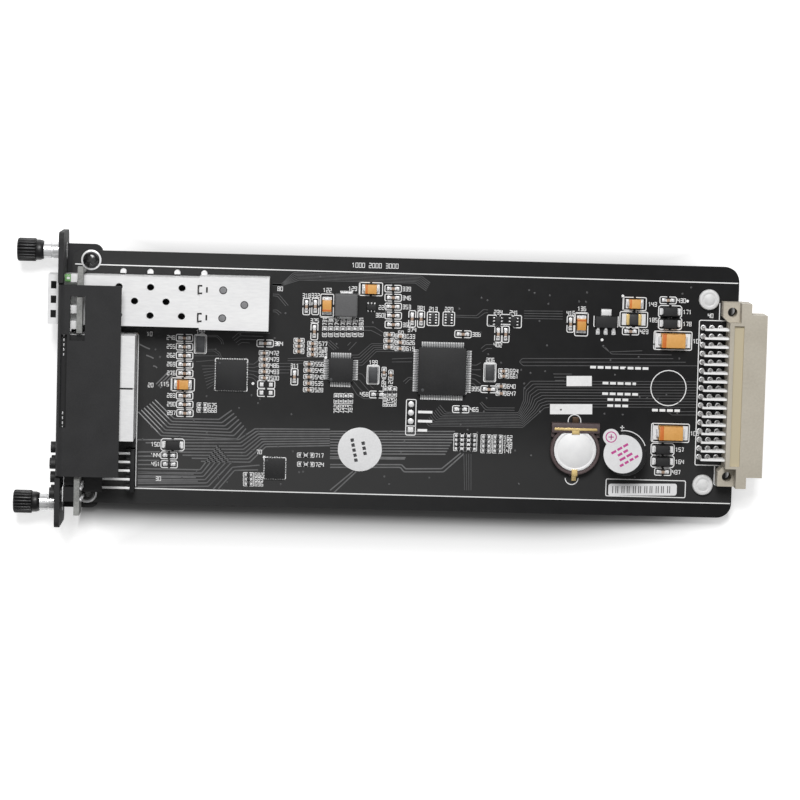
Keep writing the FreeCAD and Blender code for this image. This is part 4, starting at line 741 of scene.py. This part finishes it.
# a number goes beside its part, where no other part or number is too near
taken = [spot[:2] for spot, *_ in every_part]
numbers, room_x, room_y = [], 2.3, 1.1
for count, (spot, long, wide) in enumerate(every_part):
    x, y, z, turn = spot
    if turn == 0:
        choices = [(x + side * (long + 1.35), y, 0) for side in ((-1, 1) if x < -55 else (1, -1))]
    elif long < 2:
        choices = [(x, y + side * (long + 1.35), 90) for side in ((1, -1) if y > 10 else (-1, 1))]
    else:
        choices = [(x, y + side * (long + 0.6), 0) for side in (1, -1)]
    for across, along, lean in choices[:1 if long < 2 else 2]:
        if all(abs(across - a) > room_x or abs(along - b) > room_y for a, b in taken if (a, b) != (x, y)):
            numbers += figures(101 + 7 * count % 800, across, along, lean)
            if lean == 0:
                taken.append((across, along))
            break
for number, x, y in ((10, -70.4, 13.0), (20, -69.8, -2.0), (30, -67.0, -29.5), (40, 93.6, 22.6), (50, 3.0, 15.2),
                     (60, -19.6, 9.6), (70, -37.6, -20.9), (80, -32.6, 27.2)):
    numbers += figures(number, x, y)
for place, number in enumerate((1000, 2000, 3000)):
    numbers += figures(number, -9.9 + 4.9 * place, 34.7, 0, 1.3)
inked("print_numbers", numbers, 0.23)

# Coin cell and its holder
# A steel button cell in a moulded ring that is open at the top, with a gilt spring strip over the
# rim from a crossbar and gilt solder tags through the board at both ends.


def joined(*meshes):
    """Several meshes as one."""
    made = bmesh.new()
    for mesh in meshes:
        made.from_mesh(mesh)
    return baked(made)


brown = finish("holder_brown", (70, 56, 57), (92, 78, 78), 0.42, 0.58, scale=1500.0, depth=0.12)
steel = finish("cell_steel", (232, 232, 233), (242, 242, 242), 0.42, 0.55, scale=420.0, depth=0.03, Metallic=0.05)
low, high = extent("coin_cell")
(x, y), top = ((low + high) / 2).xy, high.z
cell = turned([(low.z, 0), (low.z, 5.8), (low.z + 0.3, 6.2), (top - 0.35, 6.24), (top - 0.12, 6.14), (top, 5.8),
               (top, 5.45), (top - 0.05, 5.38), (top - 0.05, 5.2), (top, 5.12), (top, 0)], 96, (x, y, 0))
piece("cell_can", cell, steel, stands_for=["coin_cell"])
foot, rim = (corner.z for corner in extent("battery_holder"))
ring = turned([(foot, 0), (foot, 7.2), (foot + 0.2, 7.35), (rim - 0.25, 7.3), (rim, 7.05), (rim, 6.6),
               (rim - 0.2, 6.36), (low.z, 6.34), (low.z - 0.02, 0)], 96, (x, y, 0))
bar = blocks([((x, y + 6.5, foot), (14.2, 3.0, rim - foot + 0.25), (0.99, 0.94)),
              ((x - 6.6, y + 4.6, foot), (1.0, 1.8, 1.6)), ((x + 6.6, y + 4.6, foot), (1.0, 1.8, 1.6)),
              ((x, y - 7.4, foot), (3.2, 1.0, 1.2), (0.9, 0.8))], 0.14)
piece("holder_ring", joined(ring, bar), brown, stands_for=["battery_holder"])
strip = blocks([((x, y + 6.2, rim + 0.22), (12.5, 0.75, 0.16)),
                ((x, y + 5.4, rim + 0.12), (2.3, 1.5, 0.2), (0.95, 0.9)),
                ((x, y - 6.6, rim + 0.02), (1.7, 2.0, 0.16)),
                ((x, y - 8.3, foot + 0.02), (1.5, 2.2, 0.5), (0.9, 0.85))], 0.06)
piece("holder_spring", strip, gilt, stands_for=["battery_clip"])
# a dark brown tag beside the crossbar
tag_dark = finish("dark_brown_tag", (60, 44, 32), (86, 66, 46), 0.3, 0.45, scale=1200.0, depth=0.08, Metallic=0.5)
piece("holder_tag", blocks([((x, y + 8.6, foot), (2.1, 2.2, 0.7), (0.9, 0.85))], 0.15), tag_dark)

# Buzzer and its wash seal
# A round black case soldered through the board. A paper disc with a pull tab still covers its sound
# hole, printed with plain coloured bars and a polarity mark.
black_plastic = finish("black_moulding", (22, 22, 23), (31, 31, 32), 0.4, 0.55, scale=1600.0, depth=0.12,
                       Specular_IOR_Level=0.35)
paper = finish("white_paper", (222, 222, 223), (234, 234, 235), 0.6, 0.75, scale=1800.0, depth=0.15,
               Specular_IOR_Level=0.2)
low, high = extent("buzzer")
(x, y), top = ((low + high) / 2).xy, high.z
case = turned([(low.z, 0), (low.z, 5.7), (low.z + 0.2, 5.95), (top - 0.5, 6.0), (top - 0.12, 5.86),
               (top - 0.06, 5.6), (top - 0.06, 0)], 96, (x, y, 0))
piece("buzzer_case", case, black_plastic, stands_for=["buzzer"])
seal, steps = bmesh.new(), 120
disc_radius, tab_radius, tab_reach, tab_angle = 5.65, 2.4, 6.1, math.radians(126)
seal_middle = Vector((x - 1.0, y + 0.4))
outline = []
for step in range(steps):
    turn = 2 * math.pi * step / steps
    # the disc's rim, or the tab's where it reaches further
    reach = disc_radius
    lean = math.cos(turn - tab_angle)
    inside = tab_radius ** 2 - tab_reach ** 2 * (1 - lean ** 2)
    if lean > 0 and inside > 0:
        reach = max(reach, tab_reach * lean + math.sqrt(inside))
    outline.append((seal_middle.x + reach * math.cos(turn), seal_middle.y + reach * math.sin(turn)))
lower, upper = ([seal.verts.new((a / MM, b / MM, (top + rise) / MM)) for a, b in outline] for rise in (-0.055, 0.06))
seal.faces.new(upper)
seal.faces.new(lower[::-1])
for i in range(steps):
    seal.faces.new([lower[i], lower[(i + 1) % steps], upper[(i + 1) % steps], upper[i]])
piece("wash_seal", baked(seal), paper)
magenta = finish("magenta_ink", (186, 62, 138), (202, 84, 154), 0.6, 0.75, scale=1800.0, depth=0.1)
bars, slant = [], 0.55
across, lift = Vector((math.cos(slant), math.sin(slant))), Vector((-math.sin(slant), math.cos(slant)))
for line, (reach, parts) in enumerate(((3.0, 3), (1.9, 2), (2.3, 2), (3.3, 4))):
    middle = Vector((x - 0.6, y + 0.1)) + lift * (2.3 - line * 1.5) + across * (0.2 * line - 0.2)
    for i in range(parts):
        wide = 2 * reach / parts
        one = middle + across * (-reach + (i + 0.5) * wide)
        bars.append([tuple(one - across * (wide / 2 - 0.22)), tuple(one + across * (wide / 2 - 0.22))])
printed("seal_bars", bars, 0.72, 0.0, top + 0.075, magenta)
tab = seal_middle + tab_reach * Vector((math.cos(tab_angle), math.sin(tab_angle)))
mark = [ring_of(tab.x, tab.y, 1.5, steps=32), [(tab.x - 0.8, tab.y), (tab.x + 0.8, tab.y)],
        [(tab.x, tab.y - 0.8), (tab.x, tab.y + 0.8)]]
printed("seal_mark", mark, 0.3, 0.0, top + 0.075, magenta)

# Backplane connector
# A beige glass-filled moulding screwed and soldered to the rear edge, with three rows of sixteen
# bent, tin-plated contacts, each soldered into a ringed hole.
beige = finish("beige_moulding", (178, 171, 157), (192, 185, 171), 0.45, 0.6, scale=1400.0, depth=0.12,
               Specular_IOR_Level=0.35)
# the moulded recess behind the mating face looks browner
tree = beige.node_tree
place = xyz(tree)
along = maths(tree, "COMPARE", place["X"], 0.101, 0.00143)
across = maths(tree, "COMPARE", place["Y"], 0.0, 0.0205)
toned(beige, maths(tree, "MULTIPLY", along, across), shade(192, 181, 154))
dress(beige, "backplane_housing")
# a brighter copy of the tin: painted light, so the contacts' bends and the link pins stay bright where they lie in
# shade
lit_contact_tin = finish("lit_contact_tin", (238, 238, 238), (250, 250, 250), 0.32, 0.45, scale=900.0, depth=0.04,
                     Metallic=0.08)
dress(lit_contact_tin, "backplane_contacts")
contact_pitch = 2.54
pads = [(round(91.6 + contact_pitch * row, 2), round(contact_pitch * (i - 7.5), 2), board_top, 0)
        for row in range(3) for i in range(16)]
seated("contact_rings", pads, disc(0.82, 0.12, 24, 0.47), tin)

# Support studs
# White nylon studs pushed through the rear corners: a low domed head above, a plain foot below.
nylon = finish("white_nylon", (212, 212, 212), (228, 228, 228), 0.4, 0.55, scale=700.0, depth=0.08)
studs = [(*((low + high) / 2).xy, 0, 0) for low, high in islands("support_studs")]
foot = [(0, 0), (0, 2.85), (0.15, 3.0), (3.2, 3.0), (3.4, 2.85), (3.4, 1.45)]
head = [(0, 1.45), (0, 2.95), (0.15, 3.05), (0.75, 3.02), (1.08, 2.8), (1.2, 2.35), (1.2, 1.9), (1.14, 1.82),
        (1.14, 1.68), (1.2, 1.6), (1.2, 0)]
stud = turned(foot + [(board_top + rise, radius) for rise, radius in head], 64)
seated("nylon_studs", studs, stud, nylon, ["support_studs"])

# Label and inspection sticker
# A printed white strip in its frame by the rear edge, and a plain round paper sticker.
strip = bmesh.new()
label_x, label_y, label_slope = 75.4, -29.2, 0.025
bmesh.ops.create_cube(strip, size=1)
for corner in strip.verts:
    corner.co = Vector((label_x + corner.co.x * 20.2, label_y + corner.co.y * 3.5 + corner.co.x * 0.5,
                        board_top + 0.06 + corner.co.z * 0.08)) / MM
ends = [side for side in strip.edges if abs(side.verts[0].co.z - side.verts[1].co.z) > 1e-5]
bmesh.ops.bevel(strip, geom=ends, offset=0.0007, segments=4, profile=0.5, affect="EDGES")
piece("white_label", baked(strip), paper)
dark_ink = finish("dark_ink", (52, 52, 54), (70, 70, 72), 0.5, 0.65, scale=1800.0, depth=0.08)
ticks, reach = [], 66.6
while reach < 84.0:
    ticks.append([(round(reach, 2), label_y + side * 1.05 + (reach - label_x) * label_slope) for side in (-1, 1)])
    reach += (0.62, 0.94, 0.55, 1.25)[len(ticks) % 4]
printed("label_ticks", ticks, 0.24, 0.0, board_top + 0.115, dark_ink)
sticker_middle = Vector((-8.1, -19.4))
sticker = turned([(0, 0), (0, 6.45), (0.09, 6.45), (0.1, 6.38), (0.1, 0)], 96, (*sticker_middle, board_top))
piece("round_sticker", sticker, paper)
lean, step, bars = Matrix.Rotation(math.radians(-78), 2), 1.5, []
for line, reach in ((1.3, 2.1), (-1.7, 3.6)):
    bars += [[tuple(lean @ Vector((-reach + step * i + move, line)) + sticker_middle) for move in (0, 1.0)]
             for i in range(round(2 * reach / step))]
printed("sticker_bars", bars, 1.0, 0.0, board_top + 0.11, dark_ink)

# Network jacks
# Two shielded jacks side by side: black mouldings with sprung gold wires, in drawn tin-plated cans. A black
# sheet on the front of both roofs and a black strip over the gap between the cans are painted shade, and sprung
# fingers earth the cans to the panel.
tin_sheet = finish("tin_plated_sheet", (228, 228, 229), (241, 241, 241), 0.36, 0.48, scale=380.0, stretch=(1, 5, 1),
                   depth=0.03, Metallic=0.12)
dress(tin_sheet, "jack_shield_1", "jack_shield_2")
dress(black_plastic, "jack_insert_1", "jack_insert_2")
dress(gilt, "jack_contacts")
low, high = extent("jack_shield_1")
foot = extent("jack_shield_2")[0].y
# painted shade: black sheets on the roofs' front, where they lie in shade under the panel's flange, and over the gap
# between the cans
shade_sheet = blocks([((low.x + 7.9, (high.y + foot) / 2, high.z), (15.6, high.y - foot - 0.1, 0.12)),
               ((high.x - 2.9, low.y - 0.1, high.z), (5.0, 0.5, 0.06))], 0.03, 1)
piece("jack_film", shade_sheet, black_plastic)
fingers = [(low.x + 1.35, y / 10, high.z + 0.12, 0) for y in list(range(75, 132, 14)) + list(range(-165, -85, 14))]
tinned("earth_fingers", fingers, [((0, 0, 0), (0.4, 0.85, 0.3), (0.6, 0.9))], 0.08)

# Optics cage
# A stamped cage and rear cover of tin-plated steel sheet, folded and clipped together, pressed into
# the board by its pins. Round vents are punched in its roof, and its inner floor is painted near black as shade.
cage_sheet = tin_sheet.copy()
cage_sheet.name = "cage_sheet"
tree = cage_sheet.node_tree
# painted shade: upward faces low inside the cage are near black
level = maths(tree, "GREATER_THAN", xyz(tree, "ShaderNodeNewGeometry", "Normal")["Z"], 0.5)
inside = maths(tree, "LESS_THAN", xyz(tree)["Z"], 0.008)
toned(cage_sheet, maths(tree, "MULTIPLY", level, inside), shade(6))
dress(cage_sheet, "optics_cage")
dress(tin_sheet, "optics_cover")
dress(black_plastic, "optics_socket")
low, high = extent("optics_cage")
deck, middle, roof = high.z, (low.y + high.y) / 2, extent("optics_cover")[1].z
vent_x, vent_step, pin_x, pin_step = -79.0, 9.1, -78.35, 7.85
vents = [(vent_x + vent_step * i, middle + side * 4.1, deck, 0) for i in range(3) for side in (-1, 1)]
vents += [(vent_x + vent_step * (i + 0.5), middle, deck, 0) for i in range(2)]
pins = [(pin_x + pin_step * i, high.y + 0.35, board_top, 0) for i in range(4)]
seated("cage_pins", pins, disc(0.95, 0.5, 24), tin)
# bright tin rings round the vents: a painted highlight on the punched edges
seated("vent_rims", vents, disc(1.3, 0.04, 28, 1.06), tin)
# painted shade: grey discs with dark rims stand for the pressed dents in the cover's roof
dent_shade = finish("dent_painted_shade", (118, 118, 120), (140, 140, 142), 0.4, 0.52, scale=900.0, depth=0.08, Metallic=0.2)
shadow_gap = finish("slot_painted_shade", (8, 8, 8), (14, 14, 14), 0.6, 0.7, scale=900.0, depth=0.05)
dents = [(-48.9, 27.0, roof, 0), (-42.7, 22.9, roof, 0), (-49.0, 18.9, roof, 0)]
seated("roof_dents", dents, disc(0.95, 0.03, 24), dent_shade)
seated("roof_dent_rims", dents, disc(1.15, 0.05, 28, 0.92), chip_epoxy)
# painted shade: dark lines on the roof stand for the shaded insides of the latch slots and bars
slots = []
for y in (27.05, 18.95):
    slots.append([(-54.95, y + 1.1), (-56.1, y + 1.1), (-56.1, y - 1.1), (-54.95, y - 1.1)])
printed("latch_slots", slots, 0.55, 0.0, roof + 0.02, shadow_gap)
bars = [[(-53.6, y + 0.8), (-53.6, y - 0.8)] for y in (27.0, 18.95)]
printed("latch_bars", bars, 0.5, 0.0, roof + 0.02, shadow_gap)

# Upright lamp and key boards
# Two small boards that stand behind the panel. One carries the lamps, white bodies with green lenses,
# the other the key switches, each under a bright steel plate and soldered at the back.
bare_fibre = finish("fibre_board", (98, 99, 98), (158, 159, 156), 0.5, 0.65, scale=2600.0, depth=0.2)
lens = finish("lamp_lens", (58, 116, 50), (126, 178, 112), 0.15, 0.25, scale=700.0, depth=0.03, IOR=1.5)
key_black = finish("key_black", (26, 26, 27), (36, 36, 37), 0.5, 0.65, scale=1500.0, depth=0.12)
dress(bare_fibre, "lamp_board", "key_board")
lamps = [(low.x, (low.y + high.y) / 2, (low.z + high.z) / 2) for low, high in islands("status_lamps")]
tips, bodies = [], []
for x, y, z in lamps:
    tips.append(((x + 0.95, y, z - 1.2), (1.9, 2.3, 2.4), (0.9, 0.9)))
    bodies.append(((x + 2.8, y, z - 1.2), (2.0, 2.4, 2.4)))
piece("lamp_lenses", blocks(tips, 0.25, 3), lens, stands_for=["status_lamps"])
piece("lamp_bodies", blocks(bodies, 0.12), nylon)
glints = [((x + 1.1, y, z + 1.18), (0.9, 0.7, 0.06)) for x, y, z in lamps]
piece("lamp_glints", blocks(glints, 0.02, 1), nylon)
dress(black_plastic, "switch_bodies", "link_socket")
plates, solder = [], []
for low, high in islands("switch_bodies"):
    y, z = (low.y + high.y) / 2, (low.z + high.z) / 2
    plates.append(((low.x - 0.03, y, low.z - 0.1), (0.3, high.y - low.y + 0.15, high.z - low.z + 0.2)))
    solder += [((high.x + 1.9, y + side * 1.6, z - 2.2 + lift), (0.9, 1.1, 1.0), (0.6, 0.6))
               for side in (-1, 1) for lift in (0.4, 3.0)]
piece("switch_plates", blocks(plates, 0.08), tin)
piece("switch_solder", blocks(solder, 0.25, 3), tin)
dress(key_black, *[f"key_{i}" for i in range(1, 7)])

# Link pins
# Five square tinned pins that bring the key board's signals down to the main board, laid along the
# top of a low black header and bent into it.
low, high = extent("link_header")
rows = [((near.x, far.x), (near.y + far.y) / 2, far.z) for near, far in islands("link_pins")]
lie = rows[0][2]
width, across = high.y - low.y, (low.y + high.y) / 2
header = [(((low.x + high.x) / 2, across, low.z), (high.x - low.x, width, lie - 0.75 - low.z)),
          ((high.x - 0.65, across, low.z), (1.3, width, lie + 0.3 - low.z))]
header += [((low.x + 0.55, y + side * 0.72, lie - 0.9), (1.1, 0.5, 0.75)) for _, y, _ in rows for side in (-1, 1)]
piece("header_body", blocks(header, 0.12), black_plastic, stands_for=["link_header"])
pins = []
for (first, last), y, top in rows:
    pins += [(((first + high.x - 1.2) / 2, y, top - 0.64), (high.x - 1.2 - first, 0.66, 0.64)),
             ((high.x - 1.5, y, low.z), (0.6, 0.6, top - low.z - 0.1))]
# the pins wear the brighter copy of the tin, painted light against the shade they lie in
piece("tinned_pins", blocks(pins, 0.1), lit_contact_tin, stands_for=["link_pins"])

# Front panel
# One piece of 1.5 mm steel sheet, punched, folded along its top into a short flange and at its foot
# into two lugs for the board, then coated in fine matt black powder.
powder = finish("matt_black_powder", (42, 42, 43), (52, 52, 53), 0.6, 0.75, scale=2600.0, depth=0.25,
                Specular_IOR_Level=0.25)
dress(powder, "front_panel")

# Board screws
# Black pan-head screws with a cross recess, each over a bright plated washer, into the panel's lugs.


def carved(mesh, tool):
    """A mesh with another cut out of it."""
    base, cutter = placed("base", mesh), placed("cutter", tool)
    cut = base.modifiers.new("cut", "BOOLEAN")
    cut.object = cutter
    cut.use_self = True
    made = evaluated(base)
    bpy.data.objects.remove(cutter)
    return made


black_screw = finish("black_screw", (18, 18, 19), (30, 30, 31), 0.18, 0.3, scale=900.0, depth=0.05,
                     Specular_IOR_Level=0.8)
spots = []
for low, high in islands("board_screws"):
    spots.append((*((low + high) / 2).xy, board_top, 20))
    foot, head = low.z - board_top, high.z - board_top
pan = turned([(foot, 0), (foot, 1.2), (foot + 0.3, 1.45), (0, 1.45), (0, 2.3), (0.9, 2.36), (1.4, 2.05),
              (head - 0.15, 1.4), (head, 0)], 64)
cross = blocks([((0, 0, 0.75), (2.5, 0.62, 2), (1.25, 1.2)), ((0, 0, 0.74), (0.62, 2.5, 2.02), (1.2, 1.25))], 0)
seated("pan_heads", spots, carved(pan, cross), black_screw, ["board_screws"], sharp=30.0)
seated("screw_rings", spots, disc(2.95, 0.3, 48, 2.42), tin)

# Captive thumbscrews
# Turned steel screws that slide in nickel-plated collars pressed into the panel, each with a black
# knob that is knurled in straight ridges and has a smooth neck behind them.
knob_black = finish("knob_black", (22, 22, 23), (32, 32, 33), 0.3, 0.45, scale=1800.0, depth=0.12,
                    Specular_IOR_Level=0.45)
nickel = finish("bright_nickel", (196, 197, 198), (244, 244, 245), 0.14, 0.28, scale=500.0, stretch=(0.2, 3, 3),
                depth=0.04, Metallic=0.4)
for end in ("upper", "lower"):
    low, high = extent(end + "_knob")
    middle = (0, (low.y + high.y) / 2, (low.z + high.z) / 2)
    tip, back, radius = low.x, high.x, (high.z - low.z) / 2
    neck = tip + 5.55
    knob = turned([(tip, 0), (tip, radius - 0.9), (tip + 0.05, radius - 0.55), (tip + 0.3, radius - 0.1),
                   (tip + 0.6, radius), (neck - 0.35, radius), (neck - 0.1, radius - 0.12), (neck, radius - 0.4),
                   (neck + 0.04, 3.02), (neck + 1.2, 2.98), (back - 0.25, 2.75), (back, 2.5), (back, 0)],
                  240, middle, "x", (20, 0.5, 2, 6))
    piece(end + "_knob_grip", knob, knob_black, end + "_turn", [end + "_knob"])
    low, high = extent(end + "_ferrule")
    radius = (high.z - low.z) / 2
    bore = radius - 0.36
    collar = turned([(high.x, bore), (high.x, radius - 0.05), (high.x - 0.05, radius), (low.x + 3.2, radius),
                     (low.x + 3.1, radius - 0.16), (low.x + 2.6, radius - 0.16), (low.x + 2.5, radius),
                     (low.x + 0.25, radius), (low.x, radius - 0.2), (low.x, bore), (high.x, bore)], 72, middle, "x")
    piece(end + "_collar", collar, nickel, "card", [end + "_ferrule"])
    dress(nickel, end + "_screw", end + "_retaining_ring")

# Floor, light and camera
# A pale floor under a broad soft key from the far long side, seen from almost straight above.
ground = bpy.data.meshes.new("floor")
ground.from_pydata([(-3, -3, 0), (3, -3, 0), (3, 3, 0), (-3, 3, 0)], [], [(0, 1, 2, 3)])
floor = placed("floor", ground)
pale = bpy.data.materials.new("pale_floor")
pale.use_nodes = True
tree = pale.node_tree
tree.nodes.remove(tree.nodes["Principled BSDF"])


def widest(rows):
    """The largest of several soft steps, each from 0 at its first place to its most at its last."""
    steps = [climb(tree, *row, "SMOOTHSTEP") for row in rows]
    return maths(tree, "MAXIMUM", maths(tree, "MAXIMUM", steps[0], steps[1]), steps[2])


# painted shadow: the floor is darker and loses the lift under the card and along its near side, so that a shadow
# stays
place, card_middle = xyz(tree), 0.0055
along = maths(tree, "ABSOLUTE", maths(tree, "SUBTRACT", place["X"], card_middle))
# the painted shadow narrows toward the rear end
narrow = maths(tree, "POWER", climb(tree, place["X"], 0.04, 0.09, 0.085), 2.0)
near = maths(tree, "SUBTRACT", narrow, place["Y"])
far = place["Y"]
open_floor = widest([(along, 0.0945, 0.0965, 1.0), (near, 0.038, 0.047, 1.0), (far, 0.033, 0.037, 1.0)])
lift = widest([(along, 0.07, 0.105, 0.6), (near, 0.042, 0.062, 0.6), (far, 0.037, 0.047, 0.6)])
ray = node(tree, "ShaderNodeLightPath")
seen = maths(tree, "MAXIMUM", ray["Is Camera Ray"], ray["Is Glossy Ray"])
seen = maths(tree, "MAXIMUM", seen, ray["Is Transmission Ray"])
lift = maths(tree, "MULTIPLY", seen, maths(tree, "MULTIPLY", lift, open_floor))
matt = node(tree, "ShaderNodeBsdfDiffuse", {"Color": mixed(tree, open_floor, (0.2, 0.2, 0.2, 1), (0.9, 0.9, 0.9, 1))})
glow = node(tree, "ShaderNodeEmission", {"Color": (1, 1, 1, 1), "Strength": lift})
total = node(tree, "ShaderNodeAddShader", {0: matt[0], 1: glow[0]})
tree.links.new(total[0], tree.nodes["Material Output"].inputs["Surface"])
ground.materials.append(pale)

world = bpy.data.worlds.new("studio")
world.use_nodes = True
world.node_tree.nodes["Background"].inputs["Color"].default_value = (1, 1, 1, 1)
world.node_tree.nodes["Background"].inputs["Strength"].default_value = 0.18
bpy.context.scene.world = world
bpy.context.scene.view_settings.view_transform = "Standard"

for name, spot, size, watts in (("key", (-0.04, 0.55, 0.83), 0.4, 8.2), ("top", (0.1, 0.1, 1.3), 0.9, 1.8)):
    lamp = bpy.data.lights.new(name, "AREA")
    lamp.size = size
    lamp.energy = watts
    light = placed(name, lamp)
    light.location = spot
    light.rotation_euler = (-Vector(spot)).to_track_quat("-Z", "Y").to_euler()

optic = bpy.data.cameras.new("camera")
optic.sensor_width = 36.0
optic.lens = 154.24
optic.clip_end = 20.0
camera = placed("camera", optic)
aim = Vector((3.185, -4.043, 10.0)) / MM
lean_x, lean_y = math.sin(math.radians(-1.263)), math.sin(math.radians(5.609))
back = Vector((lean_x, lean_y, math.sqrt(1 - lean_x ** 2 - lean_y ** 2)))
right = (-back).cross(Vector((0, 1, 0))).normalized()
up = right.cross(-back)
roll = math.radians(1.586)
across = math.cos(roll) * right + math.sin(roll) * up
upward = -math.sin(roll) * right + math.cos(roll) * up
camera.matrix_world = Matrix.Translation(aim + back) @ Matrix((across, upward, back)).transposed().to_4x4()
bpy.context.scene.camera = camera
